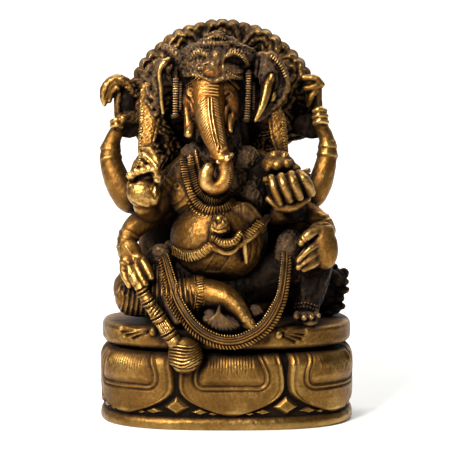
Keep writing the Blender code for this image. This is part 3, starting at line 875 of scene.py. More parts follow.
@dataclass
class Row:
    """A row of beads along one or more paths.

    Attributes:
        paths: The points and outward directions of each path, in mm.
        spacing: Distance from bead to bead.
        size: Each bead's half length along the path, half width across it, and half height, in mm.
        bead: What is repeated.
        slant: Turn about the outward direction, in degrees.
    """

    paths: Sequence[tuple[Array, Array]]
    spacing: float
    size: Point
    bead: Bead = Bead.BALL
    slant: float = 0.0


class RowMaker:
    """Sets beads, bars and leaves along paths with Geometry Nodes."""

    UNEVENNESS = 0.12  # how much beads differ in size, as a share
    INPUTS = (
        ("Spacing", "NodeSocketFloat"),
        ("Size", "NodeSocketVector"),
        ("Slant", "NodeSocketFloat"),
        ("Unevenness", "NodeSocketFloat"),
        ("Seed", "NodeSocketInt"),
        ("Finish", "NodeSocketMaterial"),
    )

    def __init__(self) -> None:
        """Starts with no node groups made."""
        self.groups: dict[Bead, bpy.types.NodeTree] = {}

    def bead_mesh(self, t: NodeTree, bead: Bead) -> bpy.types.NodeSocket:
        """The mesh that is repeated, about a millimetre in radius."""
        if bead is Bead.BALL:
            return t.add("GeometryNodeMeshUVSphere", {"Segments": 8, "Rings": 6, "Radius": 1.0}).outputs[0]
        if bead is Bead.BAR:
            block = t.add("GeometryNodeMeshCube", {"Size": (2.1, 2.1, 2.1)}).outputs[0]
            return t.add("GeometryNodeSubdivisionSurface",
                         {"Mesh": block, "Level": 2, "Edge Crease": 0.35}).outputs[0]
        block = t.add("GeometryNodeMeshUVSphere", {"Segments": 8, "Rings": 7, "Radius": 1.0}).outputs[0]
        where = t.add("ShaderNodeSeparateXYZ", {0: t.add("GeometryNodeInputPosition").outputs[0]}).outputs
        narrowing = t.maths("SUBTRACT", 0.85, t.maths("MULTIPLY", where[1], 0.45))
        place = t.add("ShaderNodeCombineXYZ", {0: t.maths("MULTIPLY", where[0], narrowing), 1: where[1],
                                               2: t.maths("MULTIPLY", where[2], narrowing)}).outputs[0]
        return t.add("GeometryNodeSetPosition", {"Geometry": block, "Position": place}).outputs[0]

    def group(self, bead: Bead) -> bpy.types.NodeTree:
        """The node group that sets this bead along curves."""
        if bead in self.groups:
            return self.groups[bead]
        tree = bpy.data.node_groups.new(f"row_of_{bead.value}s", "GeometryNodeTree")
        tree.interface.new_socket("Geometry", in_out="INPUT", socket_type="NodeSocketGeometry")
        for title, kind in self.INPUTS:
            tree.interface.new_socket(title, in_out="INPUT", socket_type=kind)
        tree.interface.new_socket("Geometry", in_out="OUTPUT", socket_type="NodeSocketGeometry")
        t = NodeTree(tree)
        given = t.add("NodeGroupInput").outputs
        curve = t.add("GeometryNodeMeshToCurve", {"Mesh": given["Geometry"]}).outputs[0]
        curve = t.add("GeometryNodeResampleCurve", {"Curve": curve, "Length": given["Spacing"]},
                      mode="LENGTH").outputs[0]
        outward = t.add("GeometryNodeInputNamedAttribute", {"Name": "outward"},
                        data_type="FLOAT_VECTOR").outputs[0]
        tangent = t.add("GeometryNodeInputTangent").outputs[0]
        turn = t.add("FunctionNodeAxesToRotation", {0: outward, 1: tangent}, primary_axis="Z",
                     secondary_axis="X").outputs[0]
        slant = t.add("FunctionNodeAxisAngleToRotation",
                      {"Axis": (0.0, 0.0, 1.0), "Angle": given["Slant"]}).outputs[0]
        turn = t.add("FunctionNodeRotateRotation", {0: turn, 1: slant}, rotation_space="LOCAL").outputs[0]
        low = t.maths("SUBTRACT", 1.0, given["Unevenness"])
        high = t.maths("ADD", 1.0, given["Unevenness"])
        random = t.add("FunctionNodeRandomValue", {2: low, 3: high, "Seed": given["Seed"]},
                       data_type="FLOAT").outputs[1]
        scale = t.add("ShaderNodeVectorMath", {0: given["Size"], "Scale": random},
                      operation="SCALE").outputs[0]
        set_out = t.add("GeometryNodeInstanceOnPoints", {
            "Points": curve, "Instance": self.bead_mesh(t, bead), "Rotation": turn, "Scale": scale,
        }).outputs[0]
        real = t.add("GeometryNodeRealizeInstances", {"Geometry": set_out}).outputs[0]
        smooth = t.add("GeometryNodeSetShadeSmooth", {"Geometry": real}).outputs[0]
        done = t.add("GeometryNodeSetMaterial", {"Geometry": smooth, "Material": given["Finish"]}).outputs[0]
        t.add("NodeGroupOutput", {"Geometry": done})
        self.groups[bead] = tree
        return tree

    def mesh(self, row: Row, finish: Finish, seed: int) -> bpy.types.Mesh:
        """One row's mesh, in metres."""
        points = np.concatenate([p for p, _ in row.paths])
        outward = np.concatenate([o for _, o in row.paths])
        edges, start = [], 0
        for path, _ in row.paths:
            edges += [(start + k, start + k + 1) for k in range(len(path) - 1)]
            start += len(path)
        data = bpy.data.meshes.new("path")
        data.from_pydata((points * MM).tolist(), edges, [])
        data.attributes.new("outward", "FLOAT_VECTOR", "POINT").data.foreach_set(
            "vector", outward.astype(np.float32).ravel()
        )
        helper = bpy.data.objects.new("path", data)
        bpy.context.scene.collection.objects.link(helper)
        modifier = helper.modifiers.new("Row", "NODES")
        modifier.node_group = self.group(row.bead)
        values = {
            "Spacing": row.spacing * MM,
            "Size": tuple(v * MM for v in row.size),
            "Slant": math.radians(row.slant),
            "Unevenness": self.UNEVENNESS,
            "Seed": seed,
            "Finish": make_material(finish),
        }
        for socket in modifier.node_group.interface.items_tree:
            if socket.in_out == "INPUT" and socket.name in values:
                modifier[socket.identifier] = values[socket.name]
        helper.update_tag()
        graph = bpy.context.evaluated_depsgraph_get()
        made = bpy.data.meshes.new_from_object(helper.evaluated_get(graph), depsgraph=graph)
        helper.modifiers.clear()
        drop(helper)
        return made

    def piece(self, name: str, rows: Sequence[Row], finish: Finish) -> Piece:
        """A piece that holds several rows."""
        shapes = []
        for k, row in enumerate(rows):
            made = self.mesh(row, finish, 11 * k + len(name))
            shape = Shape.read(made)
            shapes.append(Shape(shape.points / MM, shape.faces))
            bpy.data.meshes.remove(made)
        joined = Shape.joined(shapes)
        return Piece(name, joined, finish)


ROWS = RowMaker()


# ---------------------------------------------------------------------------------------------------
# The base
# ---------------------------------------------------------------------------------------------------


def ramp(values: Array, low: float, high: float) -> Array:
    """0 below low, 1 above high, and smooth between."""
    t = np.clip((values - low) / (high - low), 0.0, 1.0)
    return t * t * (3.0 - 2.0 * t)


def ridge(offset: Array, width: float) -> Array:
    """A rounded ridge of height 1 about zero."""
    return np.exp(-((offset / width) ** 2))


@dataclass
class Plan:
    """The base's outline: a rounded oblong, evenly parametrised.

    Attributes:
        half_width: From the middle to the side, in mm.
        front: From the widest section to the front, in mm.
        back: From the widest section to the back, in mm.
        middle_y: The widest section's y, in mm.
        squareness: 2 is an ellipse; more is squarer.
    """

    half_width: float
    front: float
    back: float
    middle_y: float
    squareness: float = 2.7

    def __post_init__(self) -> None:
        """Measures the way round, starting at the middle of the front."""
        self.turns = -math.pi / 2 + np.linspace(0.0, math.tau, 4001)
        steps = np.linalg.norm(np.diff(self.at(self.turns, 0.0), axis=0), axis=1)
        self.run = np.concatenate([[0.0], np.cumsum(steps)])

    @property
    def length(self) -> float:
        """The distance round, in mm."""
        return float(self.run[-1])

    def at(self, turns: Array, out: Array | float) -> Array:
        """Points x, y at these angles, this far outside the outline."""
        c, s = np.cos(turns), np.sin(turns)
        power = 2.0 / self.squareness
        depth = np.where(s > 0, self.back, self.front) + out
        x = np.sign(c) * np.abs(c) ** power * (self.half_width + out)
        return np.stack([x, self.middle_y + np.sign(s) * np.abs(s) ** power * depth], axis=-1)

    def point(self, along: Array, z: Array | float, out: Array | float) -> Array:
        """Points at these distances round from the middle of the front, positive to +X."""
        turns = np.interp(np.mod(along, self.length), self.run, self.turns)
        flat = self.at(turns, out)
        return np.concatenate([flat, np.broadcast_to(np.asarray(z, float), flat.shape[:-1])[..., None]],
                              axis=-1)

    def solid(self, levels: Sequence[tuple[float, float]], steps: int) -> Shape:
        """A closed solid from rows of height and distance out, with this many steps round."""
        along = np.arange(steps) / steps * self.length
        return skin(np.stack([self.point(along, z, out) for z, out in levels]))


@dataclass
class Base:
    """The lotus base: plinth ring, drum, petals, buds and seat slab.

    Attributes:
        plan: The drum's outline.
        top: The drum's height, in mm.
        seat_low: The slab's underside, in mm.
        seat_high: The slab's top, in mm.
        petals: How many petals go round.
        shift: How far the front petal's middle lies to the right, in mm.
    """

    plan: Plan
    top: float
    seat_low: float
    seat_high: float
    petals: int = 6
    shift: float = 1.8

    WALL = 3.2  # thickness of the drum's wall, in mm
    ROUND = 5.5  # radius of its shoulder
    POINT = 4.9  # height of the petals' points
    RISE = 12.5  # height over which a petal widens
    THICK = 1.55  # how far a petal stands out

    def shoulder(self, z: Array) -> Array:
        """How far the drum's wall draws in at this height, in mm."""
        rise = np.clip((z - (self.top - self.ROUND)) / self.ROUND, 0.0, 0.9999)
        return self.ROUND * (1.0 - np.sqrt(1.0 - rise * rise))

    def drum(self) -> Piece:
        """The drum with its hollow underside and the pad that carries the slab."""
        high = np.linspace(self.top - self.ROUND, self.top, 9)
        roof = self.top - self.WALL
        inner = np.linspace(roof - self.ROUND, roof, 7)
        inside = self.ROUND * (1.0 - np.sqrt(1.0 - np.clip((inner - roof + self.ROUND) / self.ROUND, 0,
                                                           0.98) ** 2))
        levels = [(z, -self.WALL - i) for z, i in zip(inner[::-1], inside[::-1])]
        levels += [(z, -self.WALL) for z in np.linspace(18.0, 0.8, 12)]
        levels += [(0.6, -self.WALL + 0.3), (0.6, -0.4), (0.9, 0.0)]
        levels += [(z, 0.0) for z in np.linspace(1.5, 22.5, 50)]
        levels += [(z, -i) for z, i in zip(high, self.shoulder(high))]
        levels += [(self.top, -7.0), (self.top + 0.2, -9.0), (self.seat_low - 0.35, -9.1),
                   (self.seat_low - 0.3, -9.5)]
        levels += [(self.seat_low - 0.3, -14.0)]
        made = self.plan.solid(levels, 250).pressed(
            lambda p, n: 0.12 * grain(p, 3, 3.0) + 0.10 * grain(p, 4, 1.2) * ramp(p[:, 2], 0.5, 2.0)
        )
        return Piece("drum", made, Finish.SOOT_AND_SHADE, ("lotus_drum",))

    def plinth(self) -> Piece:
        """The ring that the drum stands in, worn and slightly uneven."""
        outer = [(0.0, 0.4), (0.15, 1.0), (0.6, 1.45), (1.4, 1.68), (2.4, 1.7), (3.2, 1.5), (3.9, 1.1),
                 (4.35, 0.6),
                 (4.6, 0.0), (4.6, -1.4), (4.3, -1.6)]
        inner = [(3.0, -1.6), (1.5, -1.6), (0.3, -1.55), (0.0, -1.3)]
        ring = np.array([*outer, *inner])
        around = 420
        along = np.arange(around) / around * self.plan.length
        rings = np.stack([self.plan.point(along, z, out) for z, out in np.concatenate([ring, ring[:1]])])
        made = Shape(rings.reshape(-1, 3), skin(rings, closed_ends=False).faces)
        made = self.welded(made, len(ring), around)

        def uneven(points: Array, normals: Array) -> Array:
            """Wear that leaves the resting face flat."""
            rough = 0.10 * grain(points, 6, 4.0) + 0.07 * grain(points, 7, 1.5)
            return rough * ramp(points[:, 2], 0.2, 1.2)

        made = made.pressed(uneven)
        return Piece("plinth", made, Finish.BASE, ("plinth_ring",))

    @staticmethod
    def welded(shape: Shape, rings: int, around: int) -> Shape:
        """The shape with its last ring made one with its first."""
        faces = shape.faces.copy()
        last = faces >= rings * around
        faces[last] -= rings * around
        return Shape(shape.points[: rings * around], faces)

    def petal(self, k: int) -> Piece:
        """One broad petal, with a double groove round its cushion and combed strokes at its top."""
        half = self.plan.length / self.petals / 2 - 0.45
        middle = self.shift + k * self.plan.length / self.petals
        across, up = 112, 70
        u = np.linspace(-1.0, 1.0, across + 1)[None, :]
        v = np.linspace(0.0, 1.0, up + 1)[:, None]
        top = self.top - 0.4
        z = self.POINT + (top - self.POINT) * v
        q = np.clip((z - self.POINT) / self.RISE, 0.0, 1.0)
        width = half * np.maximum(0.10, 1.0 - (1.0 - q) ** 2.6) * (1.0 - 0.05 * ramp(z, 18.0, 27.0))
        side = u * width
        z = np.broadcast_to(z, side.shape)
        edge = np.minimum(width - np.abs(side), (z - self.POINT) * 0.75 + 0.02)

        height = 0.25 + self.THICK * (1.0 - np.exp(-np.maximum(edge, 0.0) / 0.75))
        height += 0.25 * ridge(edge - 1.2, 0.55) - 0.28 * ridge(edge - 2.3, 0.4) * ramp(z, 9.0, 13.0)
        # The cushion: a rounded box open at the top, drawn by two grooves.
        box_half, floor, corner = 13.6 - 2.2 * ramp(z, 20.0, 28.0), 14.6, 4.2
        dx = np.abs(side) - (box_half - corner)
        dz = (floor + corner) - z
        outside = np.hypot(np.maximum(dx, 0.0), np.maximum(dz, 0.0))
        gap = outside + np.minimum(np.maximum(dx, dz), 0.0) - corner
        height -= 0.62 * ridge(gap, 0.34) + 0.50 * ridge(gap + 1.75, 0.32)
        height += 0.22 * ridge(gap + 0.85, 0.5)
        height += 0.75 * ramp(-gap, 1.9, 5.0) - 0.25 * ramp(-gap, 6.0, 12.0)
        # Strokes combed down from the top, their lower ends uneven.
        rank = np.round(side / 1.02)
        low_end = 21.4 + 0.9 * np.sin(rank * 2.3 + k) + 0.0012 * side**4 / 4.0
        comb = np.clip(np.cos(math.tau * side / 1.02) + 0.25, 0.0, 1.0)
        strokes = ramp(z, low_end, low_end + 2.2) * (1.0 - ramp(z, 26.3, 27.6)) * (np.abs(side) < 7.6)
        height -= 0.55 * comb * strokes
        wobble = np.stack([side, z, np.full_like(side, 3.0 * k)], axis=-1).reshape(-1, 3)
        height += 0.09 * grain(wobble, 20 + k, 7.0).reshape(side.shape)
        height += 0.035 * grain(wobble, 30 + k, 1.6).reshape(side.shape)
        height = np.maximum(height, 0.12)
        height[:, [0, -1]] = -0.25
        height[[0, -1], :] = -0.25

        outer = self.plan.point(middle + side, z, height - self.shoulder(z))
        inner = self.plan.point(middle + side, z, -0.8 - self.shoulder(z))
        return Piece(f"petal_{k + 1}", self.slab(outer, inner), Finish.BASE, (f"petal_{k + 1}",))

    @staticmethod
    def slab(outer: Array, inner: Array) -> Shape:
        """A closed plate between two equal grids of points."""
        rows, columns = outer.shape[:2]
        count = rows * columns
        i, j = np.meshgrid(np.arange(rows - 1), np.arange(columns - 1), indexing="ij")
        a = (i * columns + j).ravel()
        front = np.stack([a, a + 1, a + columns + 1, a + columns], axis=1)
        edge = np.concatenate([
            np.arange(columns), columns - 1 + columns * np.arange(1, rows),
            count - 2 - np.arange(columns - 1), columns * np.arange(rows - 2, 0, -1),
        ])
        ahead = np.roll(edge, -1)
        walls = np.stack([edge, edge + count, ahead + count, ahead], axis=1)
        points = np.concatenate([outer.reshape(-1, 3), inner.reshape(-1, 3)])
        return Shape(points, np.concatenate([front, front[:, ::-1] + count, walls])).faced_out()

    def bud(self, k: int) -> Piece:
        """A faceted bud between two petals, with a sliver either side."""
        middle = self.shift + (k + 0.5) * self.plan.length / self.petals
        shapes = []
        for shift, half_wide, low, high, proud in (
            (0.0, 5.0, 5.3, 12.6, 1.25), (-8.6, 3.6, 5.5, 8.2, 0.7), (8.6, 3.6, 5.5, 8.2, 0.7),
            (13.4, 2.0, 5.3, 7.2, 0.5),
            (-13.4, 2.0, 5.3, 7.2, 0.5),
        ):
            u, v = np.meshgrid(np.linspace(-1, 1, 25), np.linspace(-1, 1, 25))
            tall = (high - low) / 2
            # The square is turned to a diamond whose widest line lies below the middle.
            x, y = (u - v) / 2, (u + v) / 2
            z = low + tall * 0.86 + np.where(y > 0, tall * 1.14, tall * 0.86) * y
            inset = np.minimum(1.0 - np.abs(u), 1.0 - np.abs(v))
            height = 0.15 + proud * np.minimum(1.0, inset / 0.42) + 0.12 * np.clip(inset - 0.42, 0, 1)
            height[[0, -1], :] = -0.3
            height[:, [0, -1]] = -0.3
            outer = self.plan.point(middle + shift + x * half_wide, z, height)
            inner = self.plan.point(middle + shift + x * half_wide, z, -0.7)
            shapes.append(self.slab(outer, inner))
        return Piece(f"bud_{k + 1}", Shape.joined(shapes), Finish.BASE, (f"petal_bud_{k + 1}",))

    def seat(self) -> list[Piece]:
        """The slab that the figure sits on, with a fan of leaf strokes on either side of its front."""
        low, high = self.seat_low, self.seat_high
        levels = [(low, -12.0), (low, -6.0), (low, -2.6), (low + 0.15, -1.2), (low + 0.6, -0.1),
                  (low + 1.3, 0.55)]
        levels += [(z, 0.8) for z in np.linspace(low + 2.0, high - 2.0, 18)]
        levels += [(high - 1.2, 0.62), (high - 0.6, 0.25), (high - 0.2, -0.4), (high, -1.5), (high, -4.0),
                   (high, -8.0),
                   (high, -12.0), (high, -16.0)]
        strokes = []
        for x, z, ends in (
            (-27.6, 33.4, [(-35.8, 37.0), (-38.6, 35.9), (-39.6, 34.4), (-39.8, 32.9), (-38.2, 31.6),
                           (-35.6, 30.4)]),
            (18.6, 32.4, [(26.8, 36.2), (29.4, 34.9), (30.0, 33.3), (29.4, 31.7), (28.4, 30.2),
                          (26.0, 29.0)]),
        ):
            for end in ends:
                start = (x + 0.2 * (end[0] - x), z + 0.2 * (end[1] - z))
                bow = ((start[0] + end[0]) / 2, (start[1] + end[1]) / 2 + 0.25)
                strokes.append(Stroke([start, bow, end], -1.1, 0.4))
        engraved = drawn_relief(strokes)

        def relief(points: Array, normals: Array) -> Array:
            """The leaf strokes, and an unevenness that is stronger on top."""
            uneven = 0.05 * grain(points, 51, 1.7) * (1.0 + ramp(normals[:, 2], 0.5, 1.0))
            return engraved(points, normals) + 0.10 * grain(points, 50, 5.0) + uneven

        made = self.plan.solid(levels, 700).pressed(relief)
        knobs = [drawn_ball(x, z, y, (1.5, 1.2, 1.7), sides=20) for x, z, y in
                 ((-27.6, 33.0, -19.6), (19.6, 31.8, -20.4))]
        spigot = tube([(0, FIGURE_Y, low - 1.5, 6.6), (0, FIGURE_Y, high + 3.0, 6.6)], sides=32)
        return [
            Piece("seat", made, Finish.BASE, ("seat_slab",)),
            Piece("seat_knobs", Shape.joined([*knobs, spigot]), Finish.BASE),
        ]

    def build(self) -> list[Piece]:
        """All of the base's pieces."""
        rounds = range(self.petals)
        return [
            self.plinth(), self.drum(), *[self.petal(k) for k in rounds], *[self.bud(k) for k in rounds],
            *self.seat(),
        ]


# ---------------------------------------------------------------------------------------------------
# The halo
# ---------------------------------------------------------------------------------------------------


@dataclass
class Halo:
    """The scalloped halo of fan-shaped petals behind the head, and the panel that carries it.

    Attributes:
        middle: x, z of the round's centre, in mm.
        radius: Of the round without its scallops, in mm.
        front: y of the plate's front, in mm.
        thickness: Of the plate, in mm.
    """

    middle: tuple[float, float] = (-1.6, 112.4)
    radius: float = 37.0
    front: float = 14.4
    thickness: float = 3.0

    def petal_heights(self, radius: Array, turn: Array) -> Array:
        """The front's relief: two rows of ribbed fans over a mottled ground."""
        total = np.zeros_like(radius)
        for ring, (centre, reach, wide, first, pitch) in enumerate(
            ((29.4, 8.2, 8.1, 90.0, 27.0), (21.6, 7.6, 7.4, 76.5, 27.0))
        ):
            rank = np.round((turn - first) / pitch)
            nearest = rank * pitch + first + 1.6 * np.sin(rank * 2.1 + ring)
            a = radius * np.radians(turn - nearest)
            b = radius - centre - 0.7 * np.sin(rank * 3.3 + 2 * ring)
            rho = np.hypot(a / wide, b / reach) * (1.0 + 0.05 * np.sin(rank * 1.7))
            fan = np.where((b > -1.5) & (rho < 1.06), 1.0, 0.0) * ramp(b, -1.5, 0.5)
            swing = np.arctan2(b, a)
            arcs = 1.15 * np.sqrt(np.abs(np.sin(np.clip(rho, 0.0, 1.0) * math.pi * 3.0)))
            ribs = 0.22 * (0.5 + 0.5 * np.cos(swing * 13.0)) * ramp(rho, 0.1, 0.6)
            lift = 1.5 * (1.0 - 0.35 * rho) if ring == 0 else 1.9 * (1.0 - 0.45 * rho)
            total = np.where(fan > 0, np.maximum(total, fan * (lift + arcs + ribs)), total)
        gaps = ridge(((turn - 76.5) % 27.0) - 13.5, 2.2) * ridge(radius - 30.0, 2.0)
        return total - 1.1 * gaps

    def edge(self, turn: Array) -> Array:
        """The outline's radius: broad lobes, each with three small scallops."""
        lobes = 0.55 * np.abs(np.cos(np.radians((turn - 90.0) * 180.0 / 27.0)))
        small = 1.0 * np.abs(np.sin(np.radians((turn - 90.0) * 180.0 / 6.75 + 90.0))) ** 0.7
        low_left, low_right = ridge(turn - 203.0, 17.0), ridge(turn - 330.0, 19.0)
        taken = 5.0 * ramp(low_left, 0.0, 0.7) + 12.0 * ramp(low_right, 0.0, 0.9)
        return self.radius - 0.05 + lobes + small - taken

    def disc(self) -> Shape:
        """The round plate with its relief."""
        turns = np.linspace(0.0, 360.0, 860, endpoint=False)
        edge = self.edge(turns)
        steps = np.concatenate([np.linspace(0.10, 0.5, 8), np.linspace(0.5, 1.0, 70)[1:]])
        rings = []
        for share in steps:
            radius = edge * share
            height = self.petal_heights(radius * self.radius / (edge - 0.8), turns)
            place = self.flat(radius, turns, 0.0)
            height = height + 0.45 * grain(place, 61, 5.0) + 0.18 * grain(place, 62, 1.8)
            round_off = 1.0 - ramp(np.full_like(radius, share), 0.955, 1.0)
            y = self.front - height * (0.35 + 0.65 * round_off) + 1.2 * (1.0 - round_off) ** 2
            rings.append(self.placed(radius, turns, y))
        for share, depth in ((1.004, 0.5), (1.0, 0.8), (0.975, 1.0), (0.93, 1.0), (0.88, 0.86), (0.83, 0.9)):
            rings.append(self.placed(edge * share, turns, self.front + self.thickness * depth + 0 * turns))
        for share in np.linspace(0.78, 0.10, 18):
            radius = edge * share
            within = ramp(radius, 8.0, 12.0) * (1.0 - ramp(radius, 26.0, 28.0))
            ribs = 0.25 * np.cos(np.radians(turns) * 30.0) * within
            uneven = 0.14 * grain(self.flat(radius, turns, 9.0), 63, 4.0)
            y = self.front + self.thickness * 0.9 - 0.1 + ribs + uneven
            rings.append(self.placed(radius, turns, np.minimum(y, self.front + self.thickness)))
        return skin(np.stack(rings))

    @staticmethod
    def flat(radius: Array, turns: Array, layer: float) -> Array:
        """Points about the round's own middle, on a layer of the unevenness."""
        angle = np.radians(turns)
        return np.stack([radius * np.cos(angle), radius * np.sin(angle), np.full_like(angle, layer)], axis=1)

    def placed(self, radius: Array, turns: Array, y: Array) -> Array:
        """Points of the plate."""
        angle = np.radians(turns)
        return np.stack([self.middle[0] + radius * np.cos(angle), y,
                         self.middle[1] + radius * np.sin(angle)], axis=1)

    def panel(self) -> Shape:
        """The panel below the round, down to the seat."""
        rows = [(-31.0, 37.7), (31.0, 37.7), (32.5, 52.0), (32.5, 72.0), (27.5, 84.0), (20.5, 92.0),
                (19.0, 106.0),
                (-21.0, 106.0), (-21.5, 92.0), (-28.5, 84.0), (-32.5, 72.0), (-32.5, 52.0)]
        half = self.thickness / 2
        rim = [tube([(x, self.front + half, z, half) for x, z in pair], sides=12, step=1.0)
               for pair in zip(rows, rows[1:] + rows[:1])]
        outline = np.array(rows)
        rings = np.stack([
            np.stack([outline[:, 0], np.full(len(outline), y), outline[:, 1]], axis=1)
            for y in (self.front + 0.5, self.front + self.thickness - 0.5)
        ])
        made = fused([skin(rings), *rim], voxel=0.8, rounds=3)
        made = made.pressed(lambda p, n: 0.22 * grain(p, 65, 6.0) + 0.14 * grain(p, 66, 2.0) - 0.1)
        across, _, up = (made.points - [self.middle[0], 0.0, self.middle[1]]).T
        inside = np.hypot(across, up) < self.radius - 1.5
        deep = np.minimum(made.points[:, 1], self.front + 0.55 * self.thickness)
        made.points[:, 1] = np.where(inside, deep, made.points[:, 1])
        return made

    def bars(self) -> Shape:
        """The raised border and ribs cast on the back of the panel."""
        back = self.front + self.thickness - 0.75
        runs = [
            [(-28.6, 40.5), (-29.4, 55.0), (-29.4, 70.0), (-26.4, 78.0)],
            [(28.6, 40.5), (29.4, 55.0), (29.4, 70.0), (26.4, 78.0)],
            [(-28.6, 40.5), (0.0, 40.1), (28.6, 40.5)], [(0.0, 41.0), (-0.4, 58.0), (-1.0, 74.0)],
            [(-14.4, 41.0), (-13.6, 56.0), (-11.6, 75.0)], [(14.4, 41.0), (13.2, 56.0), (9.6, 75.0)],
        ]
        return fused([tube([(x, back, z, 0.72) for x, z in run], sides=12, step=0.6) for run in runs],
                     voxel=0.34)

    def build(self) -> list[Piece]:
        """The halo's pieces."""
        stem = tube([(0, FIGURE_Y + 6, 100.0, 9.0), (-3, FIGURE_Y + 7, 122.0, 10.0)], flatness=0.5, step=1.0)
        return [
            Piece("halo", self.disc(), Finish.HALO, ("halo_petal_band",)),
            Piece("halo_panel", Shape.joined([self.panel(), stem]), Finish.DUSTY, ("halo_plate",)),
            Piece("halo_ribs", self.bars(), Finish.AGED),
        ]


# ---------------------------------------------------------------------------------------------------
# The head
# ---------------------------------------------------------------------------------------------------


